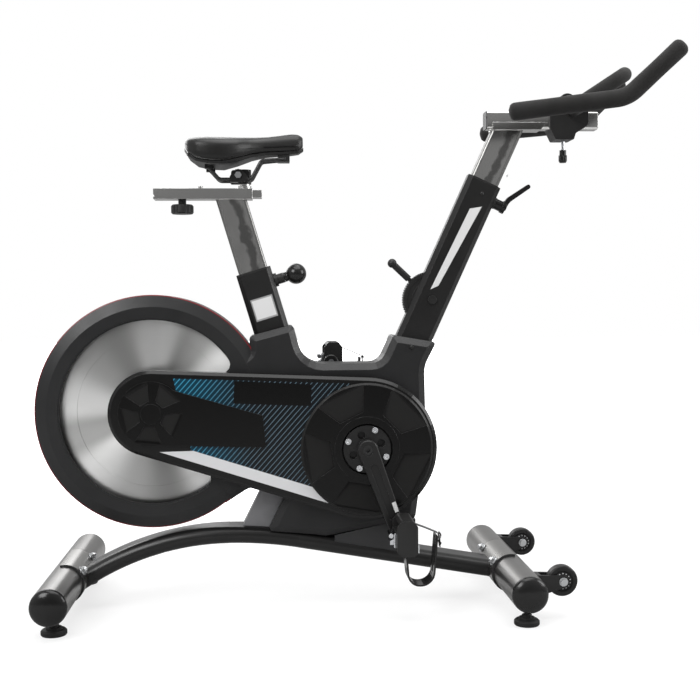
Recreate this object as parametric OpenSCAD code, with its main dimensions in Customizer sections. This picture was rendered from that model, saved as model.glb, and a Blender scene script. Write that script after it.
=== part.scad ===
// Indoor cycling bike with a belt-driven flywheel, a fore-and-aft saddle and an adjustable handlebar.
// Millimetres. +X points to the handlebar, +Z up, the drive side faces -Y, the floor is Z = 0.

/* [Base] */
// Length of each stabilizer tube
stab_l = 476; // [430:1:540]
// Outer diameter of the stabilizer tubes
stab_d = 70; // [64:1:76]
// Wall of the stabilizer tubes
stab_wall = 2.5; // [2:0.5:4]
// Height of the stabilizer axes above the floor
stab_z = 64.5; // [60:0.5:70]
// Distance of the rear stabilizer behind the origin
rear_x = 578; // [560:1:600]
// Distance of the front stabilizer ahead of the origin
front_x = 317; // [305:1:340]
// Height of the domed end caps beyond the tube
cap_dome = 15; // [8:1:20]
// Half width of the curved saddle plates between beam and stabilizers
plate_half = 72; // [66:1:90]
// Thickness of the saddle plates
plate_t = 4; // [3:0.5:6]
// Distance of the saddle bolts from the middle
bolt_y = 60; // [56:1:62]
// Distance of the rear feet from the tube's ends
foot_in_rear = 48; // [33:1:88]
// Distance of the front feet from the tube's ends
foot_in_front = 26; // [20:1:38]
// Diameter of the foot pads
foot_d = 49; // [40:1:56]
// Thickness of the foot pads
foot_h = 11; // [8:1:14]

/* [Beam] */
// Width of the flat-oval beam
beam_w = 80; // [72:1:90]
// Height of the flat-oval beam
beam_h = 35; // [30:1:40]
// Wall of the beam
beam_wall = 2.5; // [2:0.5:4]
// Position of the beam's crest, behind the origin
crest_x = 256; // [240:1:270]
// Rise of the crest above the stabilizer axes
crest_rise = 82; // [78:0.5:85]
// Slope of the beam's straight front part, in degrees
beam_slope = 10; // [9.8:0.1:11]

/* [Transport wheels] */
// Diameter of the transport wheels
wheel_d = 60; // [50:1:66]
// Width of the transport wheels
wheel_w = 22; // [16:1:26]
// Wheel axle ahead of the front stabilizer axis
wheel_dx = 77.5; // [74:0.5:84]
// Wheel axle above the stabilizer axes
wheel_dz = 10; // [5:0.5:16]
// Distance of the wheels from the front tube's ends
wheel_in = 64; // [48:1:88]

/* [Frame tubes] */
// Depth of the tubes that hold the two posts
tube_w = 72; // [70:1:80]
// Thickness of those tubes from side to side
tube_t = 42; // [40:1:48]
// Wall of those tubes
tube_wall = 3; // [2:0.5:3.5]
// Bevel on the long edges of those tubes
tube_bevel = 9; // [5:0.5:10]
// Rearward tilt of the seat tube, in degrees
seat_tilt = 16.5; // [15:0.5:18]
// Top of the seat tube, behind the origin
seat_top_x = 199.5; // [194:0.5:204]
// Height of the top of the seat tube
seat_top_z = 680.5; // [665:0.5:700]
// Forward tilt of the front tube, in degrees
bar_tilt = 24.6; // [23.5:0.1:25.5]
// Top of the front tube, ahead of the origin
bar_top_x = 274.5; // [268:0.5:282]
// Height of the top of the front tube
bar_top_z = 862; // [850:0.5:880]

/* [Shells] */
// Half width over the two shells
shell_y = 50; // [48:0.5:54]
// Wall of the shells
shell_wall = 3; // [2:0.5:4]
// Room between the flywheel and the outside of its housing
shroud_room = 24; // [20:1:30]
// Width of the housing's face outside the window
window_band = 50; // [44:1:60]
// Width of the bevel round the flywheel housing
shroud_bevel = 24; // [20:1:27]
// Width of the bevel round the rest of the shells
shell_bevel = 13; // [10:0.5:14]
// Depth of both bevels
bevel_depth = 10; // [6:0.5:12]
// Height of the shells' level top edge
shell_top_z = 494.5; // [486:0.5:502]

/* [Belt guard] */
// Radius of the guard's rear end, round the flywheel axle
guard_r1 = 85; // [80:1:90]
// Radius of the guard's front end, round the cranks
guard_r2 = 142; // [138:1:146]
// Distance of the guard's face from the middle
guard_y = 84; // [82:0.5:88]
// Thickness of the faceted crank cover
cover_t = 8; // [6:0.5:9]
// Radius of the faceted crank cover
cover_r = 132; // [124:1:134]
// Radius of the opening round the crank
cover_hole_r = 51; // [50:0.5:56]
// Radius of the rear rosette
rosette_r = 64; // [58:1:68]

/* [Drive] */
// Flywheel axle behind the origin
fly_x = 403; // [398:1:408]
// Height of the flywheel axle
fly_z = 402; // [396:1:406]
// Radius of the flywheel
fly_r = 210; // [204:1:214]
// Width of the flywheel's rim
rim_w = 28; // [22:1:30]
// Thickness of the flywheel's web
web_t = 14; // [10:1:16]
// Crank axle ahead of the origin
crank_x = 23; // [18:1:28]
// Height of the crank axle
crank_z = 326; // [320:1:332]
// Radius of the belt pulley on the crank axle
pulley_r2 = 105; // [95:1:112]
// Radius of the belt pulley on the flywheel axle
pulley_r1 = 34; // [28:1:40]
// Width of the belt
belt_w = 14; // [10:1:14]
// Thickness of the belt
belt_t = 4; // [3:0.5:5]
// Radius of the two axles
axle_r = 10; // [8:0.5:11]

/* [Cranks and pedals] */
// Crank length
crank_l = 175; // [165:0.5:180]
// Angle of the drive-side crank from straight down, forwards, in degrees
crank_a = 20; // [15:1:25]
// Distance of the cranks' inner faces from the middle
crank_y = 96; // [95:0.5:100]
// Thickness of the cranks
crank_t = 16; // [12:1:18]
// Width of a pedal from side to side
pedal_w = 88; // [76:1:100]
// Thickness of a pedal
pedal_t = 28; // [26:1:34]
// Length of a pedal from heel to toe
pedal_l = 68; // [60:1:80]
// Reach of the toe clip beyond the pedal axle
clip_reach = 90; // [84:1:100]

/* [Seat] */
// Thickness of the liners between the tubes and the chrome posts
liner_t = 3; // [2.5:0.5:4]
// Height of the underside of the saddle rail
rail_z = 828; // [815:0.5:845]
// Length of the seat post inside its tube
seat_insert = 215; // [180:1:240]
// Length of the saddle rail channel
channel_l = 198; // [170:1:230]
// Outer width of the saddle rail channel
channel_w = 46; // [40:1:52]
// Height of the saddle rail channel
channel_h = 21; // [18:0.5:24]
// Length of the slider that carries the saddle
slider_l = 205; // [180:1:230]
// Radius of the saddle stem
stem_r = 11; // [10:0.5:12.5]
// Length of the saddle
saddle_l = 238; // [225:1:262]
// Width of the saddle at the back
saddle_w = 158; // [140:1:180]
// Width of the saddle at the nose
nose_w = 44; // [38:1:56]

/* [Handlebar] */
// Height of the underside of the handlebar rail
bar_rail_z = 971; // [965:0.5:985]
// Side of the square handlebar rail
bar_rail_w = 36; // [32:0.5:40]
// Length of the handlebar rail
bar_rail_l = 233; // [225:1:245]
// Length of the bar post inside its tube
bar_insert = 180; // [150:1:190]
// Crossbar ahead of the origin
cross_x = 446; // [440:1:450]
// Radius of the handlebar tube
bar_core_r = 12.5; // [11:0.5:13]
// Radius of the padded outer grips
grip_r = 17.5; // [16:0.5:19]
// Half distance between the outer grips at the back
grip_y_back = 146; // [135:1:160]
// Half distance between the outer grips at the tips
grip_y_tip = 186; // [175:1:200]
// Half distance between the two legs of the inner loop
loop_y = 45; // [42:1:56]
// Length of the sliding carriage
carriage_l = 80; // [74:1:84]

/* [Controls] */
// Radius of the ball on the seat pin
ball_r = 21; // [16:0.5:24]
// Radius of the saddle rail knob
knob_r = 23; // [20:0.5:26]
// Radius of the half-moon housing of the resistance lever
moon_r = 59; // [55:0.5:62]
// Length of the resistance lever
lever_l = 60; // [54:1:68]

/* [Hidden] */
$fn = 64;

run = 0.05;    // radial clearance of a shaft in its bore
seat = 0.1;    // gap between faces that rest on each other
gap = 0.3;     // gap between formed pieces
step = 0.02;   // step where two lengths of one bar meet

black = "#1d1d1f";
satin = "#2e2e30";
chrome = "silver";
steel = "#c9cbce";

// ---- beam geometry ----
stab_r = stab_d / 2;
foot_y_rear = stab_l / 2 - foot_in_rear;
foot_y_front = stab_l / 2 - foot_in_front;
wheel_y = stab_l / 2 - wheel_in;
crest_z = stab_z + crest_rise;
rear_run = rear_x - stab_r - crest_x;
rear_arc_r = (pow(rear_run, 2) + pow(crest_rise, 2)) / (2 * crest_rise);
rear_arc_a = asin(rear_run / rear_arc_r);
front_run = crest_x + front_x - stab_r;
front_arc_r = (front_run * tan(beam_slope) - crest_rise)
    / (sin(beam_slope) * tan(beam_slope) - 1 + cos(beam_slope));
slope_start = [front_arc_r * sin(beam_slope) - crest_x,
    crest_z - front_arc_r * (1 - cos(beam_slope))];
slope_l = (front_x - slope_start[0]) / cos(beam_slope);

// Height of the beam's centre line at x, on its straight part or its front arc
function beam_z(x) = x > slope_start[0]
    ? slope_start[1] - (x - slope_start[0]) * tan(beam_slope)
    : crest_z - front_arc_r + sqrt(pow(front_arc_r, 2) - pow(x + crest_x, 2));

// ---- posts and tubes ----
post_w = tube_w - 2 * tube_wall - 2 * liner_t;
post_t = tube_t - 2 * tube_wall - 2 * liner_t;
post_wall = 2.5;
seat_top = [-seat_top_x, seat_top_z];
bar_top = [bar_top_x, bar_top_z];
bar_foot_x = bar_top_x - (bar_top_z - beam_z(-55)) * tan(bar_tilt);
bar_tube_l = (bar_top_z - beam_z(bar_foot_x)) / cos(bar_tilt);
seat_tube_l = (seat_top_z - beam_z(bar_foot_x)) / cos(seat_tilt);
pin_z = -27.5;          // the seat pin's axis below the top of its tube
pin_travel = 8;

// Point on a leaning tube: s above its top along the axis, w to the front of the axis
function on_seat(s, w) = seat_top + s * [-sin(seat_tilt), cos(seat_tilt)]
    + w * [cos(seat_tilt), sin(seat_tilt)];
function on_bar(s, w) = bar_top + s * [sin(bar_tilt), cos(bar_tilt)]
    + w * [cos(bar_tilt), -sin(bar_tilt)];

// ---- drive ----
hub = [-fly_x, fly_z];
crank = [crank_x, crank_z];
drive_l = norm(crank - hub);
drive_a = atan2(crank[1] - hub[1], crank[0] - hub[0]);
belt_y = shell_y + 10;          // the belt's inner edge
stay_y = shell_y - shell_wall - 10;   // inner face of the flywheel stays
stay_t = 6;
bearing_w = 12;
bearing_r = 18;

// ---- small functions ----
function xy(p) = [p[0], p[1]];
function unit(v) = v / norm(v);
function turn(a, b) = (b - a) - 360 * round((b - a) / 360);
function arc(c, r, a0, a1, n) = [for (i = [0:n])
    let (a = a0 + (a1 - a0) * i / n) c + r * [cos(a), sin(a)]];
function lift(p, z) = [for (v = p) [v[0], v[1], z]];

// Round the corner b = [x, y, r] between its neighbours a and c
function corner(a, b, c, n) =
    let (u = unit(xy(a) - xy(b)), v = unit(xy(c) - xy(b)),
        half = acos(u * v) / 2,
        m = xy(b) + unit(u + v) * b[2] / sin(half),
        s = xy(b) + u * b[2] / tan(half) - m,
        e = xy(b) + v * b[2] / tan(half) - m,
        a0 = atan2(s[1], s[0]))
    arc(m, b[2], a0, a0 + turn(a0, atan2(e[1], e[0])), n);
function rounded(p, n = 6) = [for (i = [0:len(p) - 1])
    each corner(p[(i + len(p) - 1) % len(p)], p[i], p[(i + 1) % len(p)], is_undef(p[i][3]) ? n : p[i][3])];

// Move the edges of a counter-clockwise outline inwards by d
function inward(a, b) = let (u = unit(xy(b) - xy(a))) [-u[1], u[0]];
function inset(p, d) = [for (i = [0:len(p) - 1])
    let (a = p[(i + len(p) - 1) % len(p)], b = p[i], c = p[(i + 1) % len(p)],
        m = inward(a, b), n = inward(b, c),
        q = xy(b) + (m + n) * d / (1 + m * n),
        convex = cross(xy(b) - xy(a), xy(c) - xy(b)) > 0)
    [q[0], q[1], max(b[2] + (convex ? -d : d), 0.5), b[3]]];

// ---- small modules ----
// Twice the signed area of a triangle: positive where c lies to the left of the line from a to b
function side_of(a, b, c) = (b[0] - a[0]) * (c[1] - a[1]) - (b[1] - a[1]) * (c[0] - a[0]);
// Corners of an outline that lie inside one of its triangles
function inside(p, a, b, c, k) = [for (i = k)
    if (i != a && i != b && i != c && side_of(p[a], p[b], p[i]) >= 0
        && side_of(p[b], p[c], p[i]) >= 0 && side_of(p[c], p[a], p[i]) >= 0) i];
function first_ear(p, k, i = 0) =
    let (n = len(k), a = k[(i + n - 1) % n], b = k[i % n], c = k[(i + 1) % n])
    i >= n || side_of(p[a], p[b], p[c]) > 0 && len(inside(p, a, b, c, k)) == 0
        ? i % n : first_ear(p, k, i + 1);
// Triangles that fill a counter-clockwise outline, as triples of indices
function ears(p, k) = len(k) == 3 ? [k] : let (n = len(k), i = first_ear(p, k))
    concat([[k[(i + n - 1) % n], k[i], k[(i + 1) % n]]], ears(p, [for (j = [0:n - 1]) if (j != i) k[j]]));
// Skin a stack of rings with equal numbers of points; hollow outlines need their ends cut into triangles
module loft(rings, cut_ends = false) {
    n = len(rings[0]);
    m = len(rings);
    whole = [for (i = [0:n - 1]) i];
    low = cut_ends ? ears(rings[0], whole) : [whole];
    high = cut_ends ? ears(rings[m - 1], whole) : [whole];
    polyhedron(
        [for (r = rings) each r],
        concat(low, [for (t = high) [for (i = [len(t) - 1:-1:0]) (m - 1) * n + t[i]]],
            [for (k = [0:m - 2], i = [0:n - 1])
                [k * n + i, (k + 1) * n + i, (k + 1) * n + (i + 1) % n, k * n + (i + 1) % n]]));
}
// Slab of height h whose upper edge has a bevel w wide and d deep
module bevelled(p, h, w, d) {
    loft([lift(rounded(p), 0), lift(rounded(p), h - d), lift(rounded(inset(p, w)), h)], true);
}
// Stand a drawing of the XZ plane up, thick towards -Y
module upright(y = 0) {
    translate([0, -y, 0]) rotate([90, 0, 0]) children();
}
// A drawing of the XZ plane, thick from y0 to y1
module slab(y0, y1) {
    translate([0, y1, 0]) rotate([90, 0, 0]) linear_extrude(y1 - y0) children();
}
// Cylinder along Y from y0 to y1 at p = [x, z]
module rod(p, r, y0, y1) {
    translate([p[0], y1, p[1]]) rotate([90, 0, 0]) cylinder(r = r, h = y1 - y0);
}
module flat_oval(w, h) {
    square([w - h, h], center = true);
    for (s = [-1, 1]) translate([s * (w - h) / 2, 0]) circle(d = h);
}
module round_rect(w, h, r) {
    square([w - 2 * r, h], center = true);
    square([w, h - 2 * r], center = true);
    for (i = [-1, 1], j = [-1, 1]) translate([i * (w / 2 - r), j * (h / 2 - r)]) circle(r);
}
module bevel_rect(w, h, b) {
    polygon([[b - w / 2, -h / 2], [w / 2 - b, -h / 2], [w / 2, b - h / 2], [w / 2, h / 2 - b],
        [w / 2 - b, h / 2], [b - w / 2, h / 2], [-w / 2, h / 2 - b], [-w / 2, b - h / 2]]);
}
// Two circles and the straight sides that touch both
module wrap(p, r, q, s) {
    polygon(wrap_line(p, r, q, s, 48));
}
module ring(r0, r1, h) {
    difference() {
        cylinder(r = r1, h = h);
        translate([0, 0, -1]) cylinder(r = r0, h = h + 2);
    }
}
// Round bar from a to b
module bar(a, b, r) {
    d = b - a;
    translate(a) rotate([0, acos(d[2] / norm(d)), atan2(d[1], d[0])]) cylinder(r = r, h = norm(d));
}
// Bend of radius bend at b, between a and c
module elbow(a, b, c, bend, r) {
    u = unit(b - a);
    v = unit(c - b);
    t = acos(u * v);
    n = unit(cross(u, v));
    e = cross(u, n);
    o = b - u * bend * tan(t / 2) - e * bend;
    multmatrix([[e[0], u[0], n[0], o[0]], [e[1], u[1], n[1], o[1]], [e[2], u[2], n[2], o[2]], [0, 0, 0, 1]])
        rotate_extrude(angle = t) translate([bend, 0]) circle(r - step);
}
// Round bar along a path whose inner corners are bent to one radius
module pipe(path, bend, r) {
    last = len(path) - 1;
    function tuck(i) = i == 0 || i == last ? 0
        : bend * tan(acos(unit(path[i] - path[i - 1]) * unit(path[i + 1] - path[i])) / 2);
    for (i = [0:last - 1]) {
        u = unit(path[i + 1] - path[i]);
        bar(path[i] + u * max(tuck(i) - 0.3, 0), path[i + 1] - u * max(tuck(i + 1) - 0.3, 0), r);
    }
    for (i = [1:last - 1]) elbow(path[i - 1], path[i], path[i + 1], bend, r);
}
module seat_axis() {
    translate([seat_top[0], 0, seat_top[1]]) rotate([0, -seat_tilt, 0]) children();
}
module bar_axis() {
    translate([bar_top[0], 0, bar_top[1]]) rotate([0, bar_tilt, 0]) children();
}
module both_sides() {
    for (s = [0, 1]) mirror([0, s, 0]) children();
}
// Tangent outline round two circles, counter-clockwise
function wrap_line(p, r, q, s, n) =
    let (l = norm(q - p), a = atan2(q[1] - p[1], q[0] - p[0]), t = acos((r - s) / l))
    concat(arc(p, r, a + t, a + 360 - t, n), arc(q, s, a - t, a + t, n));
// Slab between tangent outlines with both edges chamfered by c
module wrapped(p, r, q, s, y0, y1, c, n = 20) {
    upright() loft([lift(wrap_line(p, r - c, q, s - c, n), y0), lift(wrap_line(p, r, q, s, n), y0 + c),
        lift(wrap_line(p, r, q, s, n), y1 - c), lift(wrap_line(p, r - c, q, s - c, n), y1)]);
}

// ---- base ----
module beam_section(g) {
    rotate(90) flat_oval(beam_w + 2 * g, beam_h + 2 * g);
}
// The middle arc is a hair thinner, so that the three parts meet in clean steps
module beam_solid(g) {
    step = 0.2;
    translate([-crest_x, 0, crest_z - rear_arc_r]) rotate([90, 0, 0]) rotate([0, 0, 89.9])
        rotate_extrude(angle = rear_arc_a + 3, $fn = 180) translate([rear_arc_r, 0]) beam_section(g);
    translate([-crest_x, 0, crest_z - front_arc_r]) rotate([90, 0, 0]) rotate([0, 0, 89.95 - beam_slope])
        rotate_extrude(angle = beam_slope + 0.1, $fn = 180)
            translate([front_arc_r, 0]) beam_section(g - step);
    translate([slope_start[0], 0, slope_start[1]]) rotate([0, beam_slope, 0]) rotate([90, 0, 90])
        translate([0, 0, -1.2]) linear_extrude(slope_l) flat_oval(beam_w + 2 * g, beam_h + 2 * g);
}
// Room for the beam with flat sides
module beam_room(g) {
    pitch = 25;
    top = [for (i = [-6:24])
        let (x = -crest_x + i * pitch) [x, beam_z(x) + beam_h / 2 / cos(beam_slope) + 0.1 + g]];
    slab(-beam_w / 2 - g, beam_w / 2 + g)
        polygon(concat([[-crest_x - 6 * pitch, 0]], top, [[-crest_x + 24 * pitch, 0]]));
}
module main_beam() {
    color(black) difference() {
        beam_solid(0);
        beam_solid(-beam_wall);
        for (x = [-rear_x, front_x]) rod([x, stab_z], stab_r + plate_t + 2 * seat, -beam_w, beam_w);
    }
}
// Positions of the saddle bolts: [x of the tube, direction of the bolt]
bolts = [[-rear_x, 35], [front_x, 145]];
nut_r = 8;
module bolt_row(r, l0, l1) {
    for (b = bolts, s = [-1, 1]) translate([b[0], s * bolt_y, stab_z]) rotate([0, 90 - b[1], 0])
        translate([0, 0, l0]) cylinder(r = r, h = l1 - l0);
}
module foot_row(r, z0, z1) {
    for (s = [-1, 1]) {
        translate([-rear_x, s * foot_y_rear, z0]) cylinder(r = r, h = z1 - z0);
        translate([front_x, s * foot_y_front, z0]) cylinder(r = r, h = z1 - z0);
    }
}
module stabilizers() {
    color(chrome) difference() {
        union() {
            for (x = [-rear_x, front_x]) difference() {
                rod([x, stab_z], stab_r, -stab_l / 2, stab_l / 2);
                rod([x, stab_z], stab_r - stab_wall, -stab_l, stab_l);
            }
            foot_row(7.5, stab_z - stab_r + 1, stab_z - 14);
        }
        foot_row(5 + run, 0, stab_z);
        bolt_row(4.3, -stab_r - 2, stab_r + 2);
    }
}
cap_rim = 3;
module stabilizer_caps() {
    color(black) for (x = [-rear_x, front_x]) both_sides() translate([x, stab_l / 2 + seat, stab_z])
        rotate([-90, 0, 0]) rotate_extrude() polygon(concat(
            [[0, -7], [stab_r - stab_wall - seat, -7], [stab_r - stab_wall - seat, 0], [stab_r, 0]],
            [for (t = [0:7.5:90]) [stab_r * cos(t), cap_rim + cap_dome * sin(t)]]));
}
module saddle_plates() {
    color(chrome) difference() {
        for (b = [[-rear_x, -88, 192], [front_x, 76, 192]])
            translate([b[0], 0, stab_z]) rotate([90, 0, 0]) rotate([0, 0, b[1]])
                rotate_extrude(angle = b[2], $fn = 96) translate([stab_r + seat, -plate_half])
                    square([plate_t, 2 * plate_half]);
        bolt_row(4.3, 0, stab_r + plate_t + 3);
    }
}
axle_z = stab_z + wheel_dz;
axle_x = front_x + wheel_dx;
cheek_t = 4;
cheek_y = wheel_w / 2 + 0.5;
module frame_bolts() {
    top = stab_r + seat + plate_t;
    color(steel) {
        for (b = bolts, s = [-1, 1]) translate([b[0], s * bolt_y, stab_z]) rotate([0, 90 - b[1], 0]) {
            translate([0, 0, -stab_r - 1]) cylinder(r = 4, h = stab_r + top + 8);
            translate([0, 0, -stab_r - 3.5]) cylinder(r1 = 5, r2 = 9, h = 2.6);
            translate([0, 0, top + 0.9]) cylinder(r = nut_r + 2, h = 1.6);
            translate([0, 0, top + 2.5]) cylinder(r = nut_r, h = 6, $fn = 6);
            translate([0, 0, top + 8.5]) cylinder(r1 = 6, r2 = 3, h = 4);
        }
        both_sides() {
            rod([axle_x, axle_z], 4, wheel_y - cheek_y - 8, wheel_y + cheek_y + 6);
            rod([axle_x, axle_z], 8.5, wheel_y - cheek_y - cheek_t - 2, wheel_y - cheek_y - cheek_t - seat);
            rod([axle_x, axle_z], 8.5, wheel_y + cheek_y + cheek_t + seat, wheel_y + cheek_y + cheek_t + 2);
            translate([axle_x, wheel_y + cheek_y + cheek_t + 2, axle_z]) rotate([-90, 0, 0])
                cylinder(r = 7, h = 5, $fn = 6);
            translate([axle_x, wheel_y - cheek_y - cheek_t - 7, axle_z]) rotate([-90, 0, 0])
                cylinder(r = 7, h = 5, $fn = 6);
        }
    }
}
module wheel_forks() {
    color(black) both_sides() difference() {
        union() {
            for (y = [wheel_y - cheek_y - cheek_t, wheel_y + cheek_y]) slab(y, y + cheek_t)
                wrap([axle_x, axle_z], 12, [front_x, stab_z], 25);
            intersection() {
                slab(wheel_y - cheek_y - 1, wheel_y + cheek_y + 1)
                    wrap([axle_x, axle_z], 12, [front_x, stab_z], 25);
                rod([front_x, stab_z], stab_r + 6, wheel_y - 30, wheel_y + 30);
            }
        }
        rod([front_x, stab_z], stab_r + seat, 0, 300);
        rod([axle_x, axle_z], 4 + seat, 0, 300);
    }
}
module wheel() {
    color(satin) translate([axle_x, wheel_y, axle_z]) rotate([90, 0, 0]) difference() {
        rotate_extrude() difference() {
            union() {
                translate([0, -wheel_w / 2]) square([wheel_d / 2 - 3, wheel_w]);
                translate([wheel_d / 2 - 8, 0]) round_rect(16, wheel_w, 4);
            }
            translate([-1, -wheel_w]) square([5 + run, 2 * wheel_w]);
            for (s = [-1, 1]) translate([wheel_d / 2 - 12, s * wheel_w / 2]) circle(2.5, $fn = 24);
        }
        for (i = [0:11], s = [-1, 1]) rotate(30 * i) translate([11.5, 0, s * wheel_w / 2])
            cylinder(r = 1.5, h = 3, center = true, $fn = 20);
    }
}
module wheel_left() {
    mirror([0, 1, 0]) wheel();
}
module wheel_right() {
    wheel();
}
module foot(x, y) {
    color(black) translate([x, y, 0]) {
        cylinder(r1 = foot_d / 2 - 1.5, r2 = foot_d / 2, h = 2);
        translate([0, 0, 2]) cylinder(d = foot_d, h = foot_h - 5);
        translate([0, 0, foot_h - 3]) cylinder(r1 = foot_d / 2, r2 = foot_d / 2 - 3, h = 3);
        translate([0, 0, foot_h]) cylinder(r = 15, h = 4);
        translate([0, 0, foot_h + 4]) cylinder(r = 10, h = 5, $fn = 6);
        cylinder(r = 5, h = stab_z - 12);
    }
}
module foot_rear_left() {
    foot(-rear_x, -foot_y_rear);
}
module foot_rear_right() {
    foot(-rear_x, foot_y_rear);
}
module foot_front_left() {
    foot(front_x, -foot_y_front);
}
module foot_front_right() {
    foot(front_x, foot_y_front);
}

// ---- frame tubes ----
inner_bevel = tube_bevel - tube_wall * (2 - sqrt(2));
module tube_solid(l, g) {
    translate([0, 0, -l]) linear_extrude(l)
        bevel_rect(tube_w + 2 * g, tube_t + 2 * g, tube_bevel + 0.6 * g);
}
module tube_hollow(l) {
    translate([0, 0, -l - 20]) linear_extrude(l + 21)
        bevel_rect(tube_w - 2 * tube_wall, tube_t - 2 * tube_wall, inner_bevel);
}
// Hole across a tube wall towards +x, z below the top
module side_hole(z, r, x0, x1) {
    translate([x0, 0, z]) rotate([0, 90, 0]) cylinder(r = r, h = x1 - x0);
}
moon_s = 264;
moon = on_bar(-moon_s, 0);
lever_z = -28;
cross_tube = on_seat(-(seat_top_z - 352) / cos(seat_tilt), 0);
module front_tube() {
    color(black) difference() {
        bar_axis() difference() {
            tube_solid(bar_tube_l, 0);
            tube_hollow(bar_tube_l);
            side_hole(lever_z, 5, 20, tube_w);
            translate([-tube_w / 2, 0, -moon_s]) cube([20, 13, 86], center = true);
        }
        beam_solid(seat);
        rod(crank, 24 + seat, -60, 60);
        rod(moon, 4 + seat, -60, 60);
        small_screw_row(2.1);
    }
}
module seat_tube() {
    color(black) difference() {
        seat_axis() difference() {
            tube_solid(seat_tube_l, 0);
            tube_hollow(seat_tube_l);
            side_hole(pin_z, 5.5, 20, tube_w);
        }
        bar_axis() translate([-tube_w / 2 - seat, -50, -bar_tube_l - 50]) cube([200, 100, bar_tube_l + 50]);
        beam_solid(seat);
        rod(cross_tube, 12 + seat, -60, 60);
    }
}
strut = [[-224, 168], [-176, 155]];
strut_dir = unit([35, 70]);
strut_y = 20;
// Leaning box of the rear strut, grown by g
module strut_solid(g) {
    a = strut[0] - [g, 0];
    b = strut[1] + [g, 0];
    slab(-strut_y - g, strut_y + g) polygon([a - strut_dir * 20, b - strut_dir * 20,
        b + strut_dir * 205, a + strut_dir * 205]);
}
// Lower corners of the shells ahead of the cranks
belly = [crank + [42, -160], crank + [102, -152]];
gusset = [[-40, beam_z(-40) + 2], [belly[1][0], beam_z(belly[1][0]) + 2],
    belly[1] + [1, -1], belly[0] - [0, 0.6], [-40, 143]];
module frame_braces() {
    a = strut[0] + [4, 0];
    b = strut[1] - [4, 0];
    color(steel) difference() {
        strut_solid(0);
        slab(3 - strut_y, strut_y - 3) polygon([a - strut_dir * 30, b - strut_dir * 30,
            b + strut_dir * 220, a + strut_dir * 220]);
        beam_solid(seat);
        seat_axis() translate([-tube_w / 2 - seat, -50, -seat_tube_l]) cube([200, 100, seat_tube_l]);
    }
    color(black) difference() {
        slab(-38, 38) polygon(gusset);
        beam_solid(seat);
        bar_axis() tube_solid(bar_tube_l + 30, seat);
        translate([bar_foot_x, 0, 0]) translate([-100, -50, 0]) cube([100, 100, 200]);
    }
}
module drive_carrier() {
    color(satin) difference() {
        union() {
            both_sides() {
                slab(stay_y, stay_y + stay_t) wrap(hub, 30, crank, 34);
                rod(hub, bearing_r + 5, stay_y - 1, stay_y + stay_t + 1);
            }
            rod(crank, 24, -stay_y - stay_t - 1, stay_y + stay_t + 1);
            rod(cross_tube, 12, -stay_y - 1, stay_y + 1);
        }
        rod(crank, axle_r + 5, -60, 60);
        both_sides() for (p = [crank, hub]) rod(p, bearing_r + seat, stay_y + stay_t + 1 - bearing_w, 60);
        both_sides() rod(hub, axle_r + 5, 0, 60);
        rod(brake_pivot, 5 + run, -60, 60);
    }
}
module ball_bearings() {
    color(steel) both_sides() for (p = [crank, hub]) translate([p[0], stay_y + stay_t + 1, p[1]])
        rotate([90, 0, 0]) difference() {
            cylinder(r = bearing_r, h = bearing_w - 0.1);
            translate([0, 0, -1]) cylinder(r = axle_r + run, h = bearing_w + 2);
            translate([0, 0, -1]) ring(13, 15.5, 2);
        }
}
liner_l = 60;
module liner() {
    difference() {
        union() {
            translate([0, 0, -liner_l]) linear_extrude(liner_l + 1)
                bevel_rect(tube_w - 2 * tube_wall - 0.2, tube_t - 2 * tube_wall - 0.2, inner_bevel);
            translate([0, 0, seat]) linear_extrude(3) bevel_rect(tube_w, tube_t, tube_bevel);
        }
        translate([0, 0, -liner_l - 1]) linear_extrude(liner_l + 10)
            round_rect(post_w + 2 * run, post_t + 2 * run, 6 + run);
    }
}
module tube_bushings() {
    color(black) {
        seat_axis() difference() {
            liner();
            side_hole(pin_z, 5.5, 20, tube_w);
        }
        bar_axis() difference() {
            liner();
            side_hole(lever_z, 5, 20, tube_w);
        }
    }
}
module tube_fittings() {
    color(black) {
        seat_axis() translate([tube_w / 2 + seat, 0, pin_z]) rotate([0, 90, 0]) difference() {
            union() {
                cylinder(r = 14, h = 6);
                cylinder(r = 10.5, h = 20);
            }
            translate([0, 0, -1]) cylinder(r = 5 + run, h = 30);
        }
        bar_axis() translate([tube_w / 2 + seat, 0, lever_z]) rotate([0, 90, 0]) difference() {
            cylinder(r = 12, h = 4);
            translate([0, 0, -1]) cylinder(r = 5 + run, h = 30);
        }
        bar_axis() translate([0, 0, -moon_s]) rotate([90, 0, 0]) {
            translate([0, 0, -tube_t / 2 - 3]) cylinder(r = 4, h = tube_t + 6);
            for (s = [-1, 1]) translate([0, 0, s * (tube_t / 2 + 2.1)])
                cylinder(r = 9, h = 4, center = true);
        }
    }
}
// Place r away from the resistance lever's axis, in direction a
module on_moon(a, r) {
    translate([moon[0] + r * cos(a), 0, moon[1] + r * sin(a)]) children();
}
module brake_housing() {
    color(black) difference() {
        union() {
            rod(moon, moon_r - 2, -12, 12);
            for (t = [95:5:215]) on_moon(t, moon_r - 3)
                rotate([0, -t, 0]) cube([5, 24, 3], center = true);
        }
        bar_axis() tube_solid(bar_tube_l, seat);
        bar_axis() translate([0, -50, -bar_tube_l]) cube([200, 100, bar_tube_l]);
        rod(moon, moon_r + 5, -5.5, 5.5);
        for (s = [-1, 1]) translate([moon[0], s * 12, moon[1]]) rotate([90, 0, 0])
            translate([0, 0, -1.5]) ring(40, 50, 3);
    }
}

// ---- shells ----
window_gap = 3;
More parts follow.
